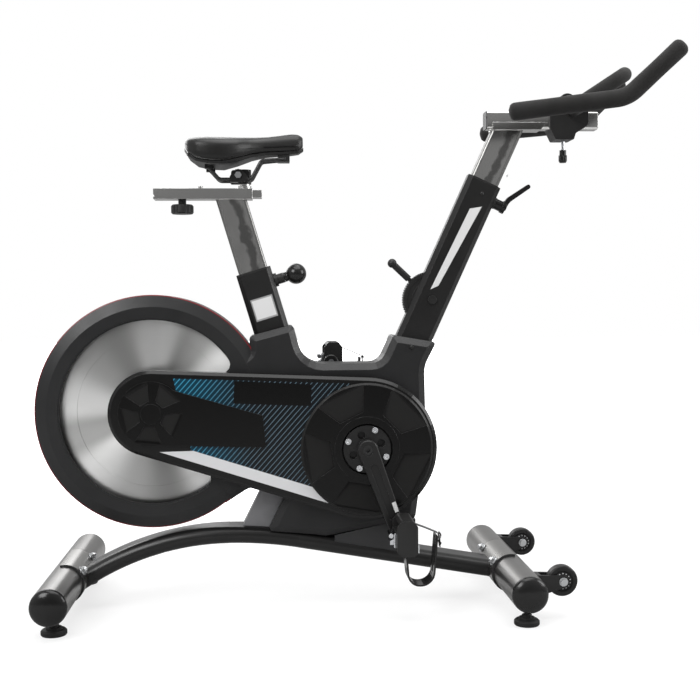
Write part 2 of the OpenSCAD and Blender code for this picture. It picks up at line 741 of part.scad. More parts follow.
// Corners of the housing round the tubes: [x, z, radius, steps]
casing = [
    [each (hub + [70, 10]), 2, 1],
    [each (hub + [141, -188]), 2, 1],
    [each (hub + [198, -152]), 40, 5],
    [each (hub + [262, -177]), 4, 2],
    [-176, beam_z(-176) + 12, 4, 1],
    [-57, beam_z(-57) + beam_h / 2 + 1.5, 4, 1],
    [each belly[0], 60, 2],
    [each belly[1], 12, 3],
    [crank_x + 111, crank_z - 90, 200, 2],
    [crank_x + 124, crank_z + 68, 120, 2],
    [145, shell_top_z - 7, 60, 3],
    [each on_bar(-340, 41), 5, 2],
    [each on_bar(-363, -45), 5, 2],
    [56, shell_top_z, 30, 4],
    [-100, shell_top_z, 50, 5],
    [each on_seat(-124, 45), 8, 2],
    [each on_seat(-121, -46), 8, 2],
    [each (hub + [194.5, 118]), 2, 1]];
shroud_r = fly_r + shroud_room;
window_r = shroud_r - window_band;
module shroud_disc(g, h) {
    r = shroud_r - g;
    translate([hub[0], hub[1], 0]) rotate(177) rotate_extrude($fn = 160)
        polygon([[0, -2], [r, -2], [r, h - bevel_depth], [r - shroud_bevel, h], [0, h]]);
}
module casing_block(g, h) {
    p = g > 0 ? inset(casing, g) : casing;
    translate([0, 0, -1 - g]) bevelled(p, h + 1 + g, shell_bevel, bevel_depth);
}
proud = 0.4;    // the round housing stands this far above the rest of the shell
module window_outline() {
    offset(r = 18) offset(delta = -18) difference() {
        translate(hub) circle(window_r, $fn = 120);
        wrap(hub, guard_r1 - window_gap, crank, guard_r2 - window_gap);
    }
}
module shell_half() {
    h = shell_y - proud;
    difference() {
        upright() difference() {
            union() {
                shroud_disc(0, shell_y);
                casing_block(0, h);
            }
            shroud_disc(shell_wall, shell_y - shell_wall);
            casing_block(shell_wall, h - shell_wall);
            translate([-700, 0, -10]) cube([1000, 700, 10 + run]);
            for (p = [hub, crank]) translate(p) cylinder(r = axle_r + 4, h = 2 * h);
        }
        beam_room(gap);
        seat_axis() tube_solid(seat_tube_l + 30, gap);
        bar_axis() tube_solid(bar_tube_l + 30, gap + 0.3);
        strut_solid(gap);
    }
}
module left_shell() {
    color(black) difference() {
        shell_half();
        small_screw_row(2.1);
        upright() translate([0, 0, shell_y - 12]) linear_extrude(20) window_outline();
        upright() translate([0, 0, shell_y - 1.5]) linear_extrude(20) offset(delta = 3) window_outline();
    }
}
module right_shell() {
    color(black) difference() {
        mirror([0, 1, 0]) shell_half();
        small_screw_row(2.1);
    }
}
guard_y0 = shell_y + gap;
module belt_guard() {
    w = 6;
    color(black) difference() {
        upright() loft([lift(wrap_line(hub, guard_r1, crank, guard_r2, 40), guard_y0),
            lift(wrap_line(hub, guard_r1, crank, guard_r2, 40), guard_y - 5),
            lift(wrap_line(hub, guard_r1 - w, crank, guard_r2 - w, 40), guard_y)]);
        upright() translate([0, 0, guard_y0 - 1]) linear_extrude(guard_y - guard_y0 + 1 - 3)
            wrap(hub, guard_r1 - w, crank, guard_r2 - w);
        rod(crank, cover_hole_r, -100, 0);
    }
}
// Sunken facet that is deepest at its inner end
module facet(r0, r1, w0, w1, deep) {
    translate([r0, 0, -deep]) rotate([0, -atan(deep / (r1 - r0)), 0]) linear_extrude(20)
        polygon([[0, -w0], [r1 - r0, -w1], [r1 - r0, w1], [0, w0]]);
}
module crank_cover() {
    color(black) translate([crank_x, -guard_y - seat, crank_z]) rotate([90, 0, 0]) difference() {
        union() {
            cylinder(r = cover_r, h = cover_t - 3, $fn = 120);
            translate([0, 0, cover_t - 3]) cylinder(r1 = cover_r, r2 = cover_r - 4, h = 3, $fn = 120);
            cylinder(r = cover_hole_r + 14, h = cover_t + 1);
        }
        translate([0, 0, -1]) cylinder(r = cover_hole_r, h = 20);
        for (a = [116, 44, -28, -100, 188]) rotate(a) translate([0, 0, cover_t])
            facet(cover_hole_r + 19, cover_r - 10, 26, 52, cover_t - 2.5);
    }
}
module hub_cover() {
    color(black) translate([hub[0], -guard_y - seat, hub[1]]) rotate([90, 0, 0]) difference() {
        union() {
            cylinder(r = rosette_r, h = 4);
            linear_extrude(4) polygon([[-10, -rosette_r + 2], [fly_x - 178, 333 - fly_z],
                [fly_x - 184, 396 - fly_z], [-10, rosette_r - 2]]);
            cylinder(r = 20, h = 5.5);
        }
        for (a = [120, 48, -24, -96, 192]) rotate(a) translate([0, 0, 4])
            facet(24, rosette_r - 6, 10, 26, 2.5);
    }
}
screws_near = [[118, 526]];
screws_far = [[118, 526], [-165, 545], [crank_x + 95, 420], [crank_x + 85, 200], [-400, 590],
    [-580, 480], [-580, 330], [-400, 215]];
module small_screw_row(r) {
    at_screws(shell_y - 8) cylinder(r = r, h = 9);
}
// Both rows of cover screws, y out from the middle
module at_screws(y) {
    upright() for (p = screws_near) translate([p[0], p[1], y]) children();
    mirror([0, 1, 0]) upright() for (p = screws_far) translate([p[0], p[1], y]) children();
}
module small_screws() {
    color(steel) {
        small_screw_row(2);
        at_screws(shell_y + seat) cylinder(r1 = 4.5, r2 = 3, h = 2);
    }
}

// ---- drive ----
belt_z = belt_y + belt_w;
module belt() {
    color(satin) slab(-belt_z, -belt_y) difference() {
        wrap(hub, pulley_r1 + gap + belt_t, crank, pulley_r2 + gap + belt_t);
        wrap(hub, pulley_r1 + gap, crank, pulley_r2 + gap);
    }
}
web_y = 28;
module flywheel() {
    color(steel) translate([hub[0], 0, hub[1]]) rotate([90, 0, 0]) difference() {
        rotate_extrude($fn = 180) difference() {
            union() {
                translate([axle_r + seat, web_y - web_t]) square([fly_r - 20, web_t]);
                translate([fly_r - 45, web_y - rim_w + 1.5]) square([45, rim_w - 3]);
                translate([fly_r - 45, web_y - rim_w]) square([43.5, rim_w]);
                translate([axle_r + seat, -stay_y + 6.5]) square([18, 2 * stay_y - 13]);
            }
            translate([fly_r - 60, web_y - 1.2]) square([2, 3]);
        }
        for (i = [0:5]) rotate(60 * i) translate([105, 0, web_y - web_t - 1]) cylinder(r = 6, h = 4);
    }
}
module flywheel_shaft() {
    color(steel) {
        difference() {
            rod(hub, axle_r, -belt_z - 4, stay_y + stay_t + 3);
            rod(hub, 3, -belt_z - 5, -belt_z + 6);
        }
        difference() {
            union() {
                rod(hub, pulley_r1, -belt_z, -belt_y);
                rod(hub, 18, -belt_y - 0.1, -shell_y - 1);
            }
            rod(hub, axle_r + seat, -90, 0);
        }
    }
}
axle_y = crank_y + crank_t;
module crank_axle() {
    color(steel) difference() {
        rod(crank, axle_r, -axle_y + 3, axle_y - 3);
        for (s = [-1, 1]) translate([crank[0], s * (axle_y - 3), crank[1]]) rotate([90, 0, 0])
            cylinder(r = 5, h = 16, center = true, $fn = 6);
    }
}
spider_r = 41;
spider_a = [67.5, 157.5, 247.5, 337.5];
module at_spider() {
    for (a = spider_a) translate([crank[0] + spider_r * cos(a), 0, crank[1] + spider_r * sin(a)])
        children();
}
module crank_pulley() {
    color(satin) difference() {
        rod(crank, pulley_r2, -belt_z, -belt_y);
        rod(crank, axle_r + seat, -90, 0);
        for (a = [0:60:300]) rod(crank + 76 * [cos(a), sin(a)], 15, -90, 0);
        at_spider() rod([0, 0], 3 + run, -90, 0);
    }
}
spider_y = crank_y - 5;
module spider_screws() {
    color(chrome) at_spider() {
        rod([0, 0], 3, -spider_y - 1, -belt_y + 1);
        difference() {
            rod([0, 0], 6, -spider_y - 3, -spider_y - 0.1);
            translate([0, -spider_y - 3, 0]) rotate([90, 0, 0])
                cylinder(r = 2.6, h = 3, center = true, $fn = 6);
        }
    }
}
module crank_arm(reach) {
    end = crank_l * [sin(crank_a), -cos(crank_a)];
    u = unit(end);
    difference() {
        union() {
            wrapped([0, 0], 20, end, 15, 0, crank_t, 1.6);
            rod([0, 0], 19.5, -1, reach);
        }
        rod([0, 0], axle_r + run, -crank_t - 1, reach + 1);
        rod(end, 6 + run, -40, 10);
        slab(-crank_t - 1, -crank_t + 2.5) wrap(u * 38, 8.5, end - u * 34, 7);
    }
}
module crank_arms() {
    color(satin) {
        difference() {
            union() {
                translate([crank_x, -crank_y, crank_z]) crank_arm(spider_y - belt_z + 3);
                difference() {
                    rod(crank, spider_r + 6.5, -spider_y, -belt_z - seat);
                    for (a = spider_a)
                        rod(crank + 30 * [cos(a + 45), sin(a + 45)], 8, -spider_y - 9, -belt_z - 6);
                }
            }
            rod(crank, axle_r + run, -200, 0);
            at_spider() rod([0, 0], 3 + run, -200, 0);
        }
        translate([crank_x, crank_y, crank_z]) mirror([0, 1, 0]) rotate([0, 180, 0])
            crank_arm(crank_y - shell_y - 3);
    }
}
crank_end = crank_l * [sin(crank_a), -cos(crank_a)];
module at_pedal(side) {
    p = crank - side * crank_end;
    translate([p[0], 0, p[1]]) mirror([0, side < 0 ? 1 : 0, 0]) children();
}
pedal_y = axle_y + 8;
pedal_mid = pedal_y + pedal_w / 2;
pedal_face = pedal_t / 2 + 12;
pedal_lo = -0.4 * pedal_l;
pedal_hi = 0.6 * pedal_l;
module pedal_spindles() {
    color(steel) for (s = [-1, 1]) at_pedal(s) {
        rod([0, 0], 6, crank_y + 1, pedal_y + pedal_w - 8);
        translate([0, axle_y + 0.1, 0]) rotate([-90, 0, 0]) cylinder(r = 9, h = 5.7, $fn = 6);
    }
}
module pedal() {
    color(black) difference() {
        union() {
            slab(pedal_y, pedal_y + pedal_w) polygon(rounded([[-pedal_t / 2, pedal_lo + 9, 6],
                [-pedal_t / 2 + 10, pedal_lo, 6], [pedal_face - 6, pedal_lo, 4],
                [pedal_face, pedal_lo + 6, 4], [pedal_face, pedal_hi - 11, 5],
                [pedal_face - 8, pedal_hi, 5], [-pedal_t / 2 + 10, pedal_hi, 6],
                [-pedal_t / 2, pedal_hi - 11, 6]]));
            rod([0, 0], pedal_t / 2 - 0.5, pedal_y - 2, pedal_y + pedal_w);
        }
        for (z = [[16, pedal_hi - 6], [pedal_lo + 5, -14.5]]) translate([-50, pedal_y + 8, z[0]])
            cube([100, pedal_w - 16, z[1] - z[0]]);
        translate([pedal_face - 9, pedal_y + 8, -12]) cube([20, pedal_w - 16, 26]);
        rod([0, 0], 6 + run, pedal_y - 5, pedal_y + pedal_w - 7);
    }
}
module cleat() {
    color(chrome) {
        translate([-pedal_t / 2 - 4.1, pedal_mid - 24, -13]) cube([4, 48, 27]);
        difference() {
            translate([-pedal_t / 2 - 11, pedal_mid - 16, -9]) cube([7, 32, 14]);
            rod([-pedal_t / 2 - 11, 6], 7, 0, 300);
        }
        rod([-pedal_t / 2 - 9, 9], 4.5, pedal_mid - 20, pedal_mid + 20);
        difference() {
            translate([pedal_face + seat, pedal_mid - 22, pedal_lo + 2]) cube([5, 44, 15]);
            translate([pedal_face + 3, pedal_mid - 8, pedal_lo]) cube([5, 16, 30]);
        }
    }
}
clip_w = 44;
module toe_clip() {
    rim = [[4, -20, 1], [10, -clip_reach, 24], [60, -clip_reach, 28], [pedal_face + 43, 20, 1]];
    color(satin) difference() {
        slab(pedal_mid - clip_w / 2, pedal_mid + clip_w / 2) difference() {
            polygon(rounded(rim, 8));
            polygon(rounded(inset(rim, 3.5), 8));
            polygon([[-40, pedal_lo - seat], [pedal_face + 29, pedal_lo - seat], [pedal_face + 32, 6],
                [120, 6], [120, 80], [-40, 80]]);
        }
        for (s = [-1, 1]) translate([0, pedal_mid + s * 11, -clip_reach + 22])
            cube([30, 11, 26], center = true);
        translate([60, pedal_mid, -48]) cube([40, 16, 34], center = true);
    }
}
module toe_strap() {
    x = pedal_face + 43;
    color(black) {
        slab(pedal_mid - 9, pedal_mid + 9) polygon([[pedal_face + seat, 30], [pedal_face + seat, 26],
            [x - 5, 6 + gap], [x + 2, 6 + gap], [x + 2, 10]]);
        slab(pedal_mid - 13, pedal_mid + 13)
            polygon([[x + 1.2, -18], [x + 7, -18], [x + 8, 12], [x + 0.5, 12]]);
    }
}
module pedal_left() {
    at_pedal(-1) pedal();
}
module pedal_right() {
    at_pedal(1) pedal();
}
module cleat_left() {
    at_pedal(-1) cleat();
}
module cleat_right() {
    at_pedal(1) cleat();
}
module toe_clip_left() {
    at_pedal(-1) toe_clip();
}
module toe_clip_right() {
    at_pedal(1) toe_clip();
}
module toe_strap_left() {
    at_pedal(-1) toe_strap();
}
module toe_strap_right() {
    at_pedal(1) toe_strap();
}

// ---- resistance ----
pivot_a = -14.4;
brake_pivot = hub + (fly_r + 23.3) * [cos(pivot_a), sin(pivot_a)];
caliper_a = -33;
module brake_arm() {
    c = hub + (fly_r + 8) * [cos(caliper_a), sin(caliper_a)];
    color(satin) difference() {
        union() {
            rod(brake_pivot, 10, -stay_y + 0.5, stay_y - 0.5);
            slab(-34, 4) wrap(brake_pivot, 9, c + 9 * [cos(caliper_a), sin(caliper_a)], 6);
            slab(-37, 7) intersection() {
                difference() {
                    translate(hub) circle(fly_r + 14, $fn = 120);
                    translate(hub) circle(fly_r - 32, $fn = 120);
                }
                polygon([hub, hub + 300 * [cos(caliper_a - 10), sin(caliper_a - 10)],
                    hub + 300 * [cos(caliper_a + 10), sin(caliper_a + 10)]]);
            }
        }
        slab(-31, 1) translate(hub) circle(fly_r + 5, $fn = 120);
        rod(brake_pivot, 5 + run, -60, 60);
    }
    color(steel) rod(brake_pivot, 5, -stay_y - stay_t, stay_y + stay_t);
}
lever_a = 136.5;
module resistance_lever() {
    d = [cos(lever_a), sin(lever_a)];
    function out(r) = [moon[0] + r * d[0], 0, moon[1] + r * d[1]];
    tip = moon_r + lever_l - 9;
    color(black) difference() {
        union() {
            rod(moon, 11, -5, 5);
            slab(-5, 5) wrap(moon, 9, moon + (moon_r - 4) * d, 6);
            bar(out(moon_r - 8), out(tip + 1), 4.5);
            bar(out(moon_r + 4), out(tip), 7);
            translate(out(tip)) sphere(9.4);
        }
        rod(moon, 4 + run, -20, 20);
    }
}
module clamp_lever() {
    face = tube_w / 2;
    color(black) bar_axis() translate([0, 0, lever_z]) difference() {
        union() {
            side_hole(0, 4.9, post_w / 2 + 0.5, face + 9);
            side_hole(0, 11, face + 4.5, face + 27);
            side_hole(0, 13, face + 19, face + 27);
            translate([face, 0, 0]) slab(-6.5, 6.5) polygon(rounded([[16, -6, 3], [28, -6, 5],
                [30, 14, 30], [58, 60, 4], [52, 67, 4], [23, 22, 14]]));
        }
        side_hole(0, 5, face + 24, face + 34);
    }
    color(chrome) bar_axis() translate([0, 0, lever_z]) side_hole(0, 4.8, face + 24.1, face + 29.5);
}

// ---- seat ----
post_top_x = -seat_top_x - (rail_z - seat_top_z) * tan(seat_tilt);
seat_rise = (rail_z - seat_top_z) / cos(seat_tilt) + tube_w;
floor_t = 3;
slide_z = rail_z + floor_t + seat;
slide_h = channel_h - 2 * floor_t - 2 * seat;
channel_x1 = post_top_x + 43;
channel_x0 = channel_x1 - channel_l;
knob_x = post_top_x - 99;
stem_x = post_top_x + 27;
module seat_post() {
    color(chrome) difference() {
        union() {
            difference() {
                seat_axis() translate([0, 0, -seat_insert]) linear_extrude(seat_insert + seat_rise)
                    difference() {
                        round_rect(post_w, post_t, 6);
                        round_rect(post_w - 2 * post_wall, post_t - 2 * post_wall, 3.5);
                    }
                translate([-500, -100, rail_z + 1]) cube([600, 200, 300]);
                seat_axis() for (i = [0:6]) side_hole(pin_z - 20 * i, 5.5, 20, 40);
            }
            difference() {
                translate([channel_x0, -channel_w / 2, rail_z]) cube([channel_l, channel_w, channel_h]);
                translate([channel_x0 - 1, -channel_w / 2 + 3, rail_z + floor_t])
                    cube([channel_l + 2, channel_w - 6, channel_h - 2 * floor_t]);
                translate([channel_x0 - 1, -channel_w / 2 + 7, rail_z + floor_t])
                    cube([channel_l + 2, channel_w - 14, channel_h]);
            }
        }
        translate([channel_x0, 0, rail_z + 10]) rotate([0, -28, 0])
            translate([-30, -50, -5]) cube([30, 100, 40]);
        translate([knob_x, 0, rail_z - 1]) cylinder(r = 4 + run, h = 10);
    }
}
module seat_slider() {
    x1 = channel_x1 + 19;
    w = channel_w - 6 - 2 * seat;
    color(chrome) {
        translate([x1 - slider_l, -w / 2, slide_z]) cube([slider_l, w, slide_h]);
        translate([stem_x, 0, slide_z + 2]) cylinder(r = stem_r, h = rail_z + 42 - slide_z - 2);
        translate([stem_x, 0, slide_z + 2]) cylinder(r = stem_r + 3, h = channel_h + 1);
        translate([post_top_x - 62, 0, slide_z + 2]) cylinder(r = 5, h = channel_h + 1);
    }
}
module slider_knob() {
    color(black) translate([knob_x, 0, 0]) {
        translate([0, 0, rail_z - 10]) cylinder(r = 8, h = 10 - gap);
        difference() {
            translate([0, 0, rail_z - 29]) rotate_extrude() polygon([[0, 0], [knob_r - 3, 0], [knob_r, 3],
                [knob_r, 16], [knob_r - 3, 19], [0, 19]]);
            for (i = [0:5]) rotate(60 * i) translate([knob_r + 4, 0, rail_z - 30]) cylinder(r = 7, h = 30);
        }
    }
    color(steel) translate([knob_x, 0, rail_z - 10]) cylinder(r = 4, h = 10 + floor_t - gap);
}
tilt_x = stem_x - 12;
tilt_z = rail_z + 47;
rail_y = 22;
rail_r = 3.5;
rail_low = tilt_z - 4 - rail_r - gap;
module saddle_clamp() {
    color(black) difference() {
        union() {
            translate([stem_x, 0, rail_z + 31]) cylinder(r = stem_r + 2.8, h = 29);
            slab(-13.9, 13.9) polygon(rounded([[tilt_x - 16, tilt_z - 12, 5], [stem_x + 8, rail_z + 33, 3],
                [stem_x + 12, rail_z + 56, 4], [tilt_x - 14, tilt_z + 12, 5]]));
        }
        translate([stem_x, 0, rail_z]) cylinder(r = stem_r + seat, h = 42.5);
        rod([tilt_x, tilt_z], 4 + run, -60, 60);
    }
}
module saddle_cheeks() {
    color(black) both_sides() difference() {
        union() {
            rod([tilt_x, tilt_z], 13, 14, 19);
            slab(14.5, 29) polygon(rounded([[tilt_x - 17, rail_low - 6, 3], [tilt_x + 19, rail_low - 6, 3],
                [tilt_x + 19, rail_low + 5, 3], [tilt_x + 8, tilt_z + 9, 4], [tilt_x - 8, tilt_z + 9, 4],
                [tilt_x - 17, rail_low + 5, 3]]));
            for (i = [0:15]) translate([tilt_x, 0, tilt_z]) rotate([0, 22.5 * i, 0])
                translate([12.4, 16, 0]) cube([2.4, 4, 2.4], center = true);
        }
        rod([tilt_x, tilt_z], 4 + seat, 0, 60);
        translate([tilt_x - 40, rail_y, rail_low]) rotate([0, 90, 0]) cylinder(r = rail_r + seat, h = 80);
    }
}
module saddle_bolt() {
    color(steel) {
        rod([tilt_x, tilt_z], 4, -33, 33);
        both_sides() translate([tilt_x, 29.1, tilt_z]) rotate([-90, 0, 0]) cylinder(r = 7, h = 5, $fn = 6);
    }
}
module rail_rod(r) {
    path = [[tilt_x - 62, -28, rail_low + 27], [tilt_x - 38, -rail_y, rail_low],
        [tilt_x + 26, -rail_y, rail_low], [tilt_x + 47, -19, rail_low + 38],
        [tilt_x + 96, -13, rail_low + 42]];
    end = path[4];
    for (s = [-1, 1]) pipe([for (p = path) [p[0], s * p[1], p[2]]], 11, r);
    bar([end[0] - 5, end[1] - 2, end[2] - 0.4], [end[0] - 5, 2 - end[1], end[2] - 0.4], r - step);
}
module saddle_rails() {
    color(steel) rail_rod(rail_r);
}
// Saddle stations: [fraction from the tail, half width, lower edge, seam, crown]
saddle_z = rail_z + 122;
tail_x = tilt_x - 106;
stations = [[0, 0.46, -28, -14, -5], [0.03, 0.74, -39, -17, -1], [0.1, 0.93, -51, -20, 1],
    [0.2, 1, -56, -23, 2], [0.32, 0.98, -57, -26, 2], [0.44, 0.82, -50, -26, 2],
    [0.56, 0.56, -41, -24, 3], [0.68, 0.38, -35.5, -22, 5], [0.8, 0.31, -33.5, -20, 8],
    [0.9, 0.29, -32, -19, 10], [0.96, 0.26, -30, -18, 9], [1, 0.16, -24, -15, 4]];
base_t = 6;
function half_w(s) = let (t = max(0, (s[0] - 0.44) / 0.56))
    s[1] * (saddle_w * (1 - t) + saddle_w * t * nose_w / 48) / 2;
function cushion_ring(s) = let (w = half_w(s), x = tail_x + s[0] * saddle_l, z = saddle_z)
    concat([for (i = [0:16]) let (a = 180 * i / 16)
        [x, w * cos(a) * (1 - 0.06 * sin(a)), z + s[3] + (s[4] - s[3]) * pow(sin(a), 0.62)]],
        [for (k = [-0.97, -0.86, 0.86, 0.97]) [x, k * w, z + s[2] + base_t + (abs(k) > 0.9 ? 5 : gap)]]);
function base_ring(s) = let (w = half_w(s) * 0.8, x = tail_x + s[0] * saddle_l, z = saddle_z + s[2])
    [[x, w, z + base_t], [x, -w, z + base_t], [x, -0.94 * w, z + 1], [x, -0.8 * w, z], [x, 0.8 * w, z],
        [x, 0.94 * w, z + 1]];
module saddle_cushion() {
    color(black) loft([for (s = stations) cushion_ring(s)]);
}
module saddle_base() {
    nose = tilt_x + 96;
    color(satin) difference() {
        union() {
            loft([for (s = stations) base_ring(s)]);
            translate([nose - 16, -15, rail_low + 36]) cube([24, 30, 17]);
            both_sides() translate([tilt_x - 66, 22, rail_low + 20]) cube([18, 13, 9.5]);
        }
        rail_rod(rail_r + seat);
    }
}
module seat_pin() {
    color(chrome) seat_axis() side_hole(pin_z, 5, post_w / 2 + gap, tube_w / 2 + 24);
    color(black) seat_axis() translate([0, 0, pin_z]) {
        translate([tube_w / 2 + 20.5, 0, 0]) rotate([0, 90, 0]) cylinder(r = 10, h = 5);
        translate([tube_w / 2 + 24, 0, 0]) rotate([0, 90, 0]) cylinder(r1 = 9, r2 = 11, h = 8);
        translate([tube_w / 2 + 25 + ball_r, 0, 0]) sphere(ball_r);
    }
}

// ---- handlebar ----
rail_mid = bar_rail_z + bar_rail_w / 2;
bar_rise = (bar_rail_z - bar_top_z) / cos(bar_tilt) + tube_w;
rail_x0 = cross_x - 168;
rail_x1 = rail_x0 + bar_rail_l;
cradle_x0 = rail_x0 + 13;
cradle_x1 = cross_x - 42;
carriage_x0 = cross_x - 37;
carriage_x1 = carriage_x0 + carriage_l;
cross_z = bar_rail_z + bar_rail_w + 18.5;
module bar_post() {
    color(chrome) {
        difference() {
            bar_axis() translate([0, 0, -bar_insert]) linear_extrude(bar_insert + bar_rise) difference() {
                round_rect(post_w, post_t, 6);
                round_rect(post_w - 2 * post_wall, post_t - 2 * post_wall, 3.5);
            }
            translate([0, -100, bar_rail_z - 1]) cube([600, 200, 300]);
        }
        slab(-bar_rail_w / 2 - 4, bar_rail_w / 2 + 4) polygon([[cradle_x0, bar_rail_z - 2],
            [cradle_x1 - 12, bar_rail_z - 2], [cradle_x1 - 12, bar_rail_z], [cradle_x0, bar_rail_z]]);
        both_sides() slab(bar_rail_w / 2, bar_rail_w / 2 + 4) polygon([[cradle_x0, bar_rail_z - 2],
            [cradle_x1 - 14, bar_rail_z - 2], [cradle_x1, bar_rail_z + 13], [cradle_x0, bar_rail_z + 13]]);
        translate([rail_x0, 0, rail_mid]) rotate([90, 0, 90]) linear_extrude(bar_rail_l) difference() {
            round_rect(bar_rail_w, bar_rail_w, 5);
            round_rect(bar_rail_w - 5, bar_rail_w - 5, 2.5);
        }
    }
    color(black) for (x = [rail_x0, rail_x1 - 1.5]) translate([x, 0, rail_mid]) rotate([90, 0, 90])
        linear_extrude(1.5) round_rect(bar_rail_w - 3, bar_rail_w - 3, 3);
}
module bar_carriage() {
    z0 = bar_rail_z - 22;
    color(black) difference() {
        union() {
            slab(-bar_rail_w / 2 - 6, bar_rail_w / 2 + 6) polygon(rounded([
                [carriage_x0 + 12, z0, 3], [carriage_x0 + 50, z0, 3], [carriage_x0 + 54, z0 + 13, 3],
                [carriage_x1 - 8, bar_rail_z + 2, 4], [carriage_x1, bar_rail_z + 10, 4],
                [carriage_x1, bar_rail_z + bar_rail_w + 5, 4],
                [carriage_x0, bar_rail_z + bar_rail_w + 5, 4], [carriage_x0, bar_rail_z + 2, 4]]));
            rod([cross_x, cross_z], bar_core_r + 5, -22, 22);
            slab(-22, 22) polygon([[cross_x - 24, cross_z - 16], [cross_x + 24, cross_z - 16],
                [cross_x + 17.5, cross_z], [cross_x - 17.5, cross_z]]);
        }
        translate([carriage_x0 - 1, 0, rail_mid]) rotate([90, 0, 90]) linear_extrude(carriage_l + 2)
            round_rect(bar_rail_w + 2 * run, bar_rail_w + 2 * run, 5);
        rod([cross_x, cross_z], bar_core_r + seat, -60, 60);
        translate([cross_x - 4, 0, z0 - 1]) cylinder(r = 4 + run, h = 30);
    }
}
grip_rake = [214, 24, 25];
grip_rise = [96.5, 16, 91];
function grip_path(a, b) = let (g0 = [cross_x - 137, grip_y_back, cross_z - 41], bend = g0 + grip_rake,
        k = (grip_y_tip - bend[1]) / grip_rise[1],
        tip = bend + [grip_rise[0], grip_y_tip - bend[1], grip_rise[2]])
    [g0 + unit(grip_rake) * a, bend, tip - unit(tip - bend) * b];
grip_bend = 62;
loop_slope = [121, 0, 79];
function loop_path(a) = let (p = [cross_x, loop_y, cross_z - 21], q = p + loop_slope)
    [p + unit(loop_slope) * a, q, [q[0], -q[1], q[2]], [p[0], -p[1], p[2]] + unit(loop_slope) * a];
cross_end = let (g = grip_path(0, 0)) g[0] + (g[1] - g[0]) * 137 / grip_rake[0];
module handlebar() {
    color(black) {
        pipe([[cross_end[0], -cross_end[1], cross_end[2]], [cross_x, -72, cross_end[2]],
            [cross_x, -32, cross_z], [cross_x, 32, cross_z], [cross_x, 72, cross_end[2]], cross_end],
            20, bar_core_r);
        both_sides() pipe(grip_path(8, 8), grip_bend, bar_core_r);
        pipe(loop_path(-6), 38, bar_core_r);
    }
}
module grip_end(p, q) {
    u = unit(p - q);
    translate(p - u) rotate([0, acos(u[2]), atan2(u[1], u[0])]) {
        cylinder(r1 = grip_r - 0.25, r2 = grip_r - 4, h = 9);
        cylinder(r1 = grip_r - 6, r2 = grip_r - 10, h = 13);
    }
}
module bar_grips() {
    color(satin) both_sides() difference() {
        union() {
            pipe(grip_path(0, 0), grip_bend, grip_r);
            for (i = [0, 2]) grip_end(grip_path(0, 0)[i], grip_path(0, 0)[1]);
        }
        pipe(grip_path(8 - seat, 8 - seat), grip_bend, bar_core_r + seat);
        bar([cross_x, 60, cross_end[2]], cross_end, bar_core_r + gap);
    }
    color(satin) difference() {
        pipe(loop_path(26), 38, bar_core_r + 2.5);
        pipe(loop_path(10), 38, bar_core_r + seat);
    }
}
module bar_pin() {
    x = cross_x - 4;
    color(chrome) translate([x, 0, bar_rail_z - 45]) cylinder(r = 4, h = 45 - gap);
    color(black) translate([x, 0, bar_rail_z - 67]) difference() {
        union() {
            cylinder(r1 = 6.5, r2 = 8, h = 3);
            translate([0, 0, 3]) cylinder(r = 8.6, h = 12);
            translate([0, 0, 15]) cylinder(r = 7, h = 10.6);
        }
        for (i = [0:11]) rotate(30 * i) translate([9.2, 0, 3]) cylinder(r = 1.2, h = 12, $fn = 16);
    }
}

main_beam();
stabilizers();
stabilizer_caps();
saddle_plates();
frame_bolts();
front_tube();
seat_tube();
frame_braces();
drive_carrier();
ball_bearings();
left_shell();
right_shell();
belt_guard();
crank_cover();
hub_cover();
small_screws();
belt();
tube_bushings();
tube_fittings();
wheel_forks();
brake_housing();
flywheel();
flywheel_shaft();
crank_axle();
crank_pulley();
spider_screws();
crank_arms();
pedal_spindles();
pedal_left();
cleat_left();
toe_clip_left();
toe_strap_left();
pedal_right();
cleat_right();
toe_clip_right();
toe_strap_right();
seat_post();
seat_slider();
slider_knob();
saddle_clamp();
saddle_cheeks();
saddle_bolt();
saddle_rails();
saddle_base();
saddle_cushion();
seat_pin();
bar_post();
bar_carriage();
handlebar();
bar_grips();
bar_pin();
clamp_lever();
resistance_lever();
brake_arm();
wheel_left();
wheel_right();
foot_rear_left();
foot_rear_right();
foot_front_left();
foot_front_right();
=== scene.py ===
import math

import bpy
from mathutils import Matrix, Vector


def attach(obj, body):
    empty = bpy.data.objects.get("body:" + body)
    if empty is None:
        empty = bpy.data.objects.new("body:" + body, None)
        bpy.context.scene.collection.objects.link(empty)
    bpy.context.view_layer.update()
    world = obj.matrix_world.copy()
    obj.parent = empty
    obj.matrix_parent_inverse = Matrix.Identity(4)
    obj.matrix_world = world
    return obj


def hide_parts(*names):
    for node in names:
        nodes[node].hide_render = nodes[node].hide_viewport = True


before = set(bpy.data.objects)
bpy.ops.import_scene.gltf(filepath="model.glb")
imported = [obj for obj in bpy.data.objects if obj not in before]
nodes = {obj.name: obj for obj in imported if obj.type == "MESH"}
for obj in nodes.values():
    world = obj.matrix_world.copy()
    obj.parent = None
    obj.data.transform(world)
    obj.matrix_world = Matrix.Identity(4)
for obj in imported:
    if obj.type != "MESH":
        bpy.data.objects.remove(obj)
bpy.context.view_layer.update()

# Places as (x, z) in metres: axes of the flywheel and of the transport wheels, mouths of both tubes
HUB = (-0.403, 0.402)
WHEEL = (0.3945, 0.0745)
SEAT_TOP = (-0.1995, 0.6805)
BAR_TOP = (0.2745, 0.862)
# How far the seat tube leans back and the front tube leans forward
SEAT_LEAN = math.radians(16.5)
BAR_LEAN = math.radians(24.6)
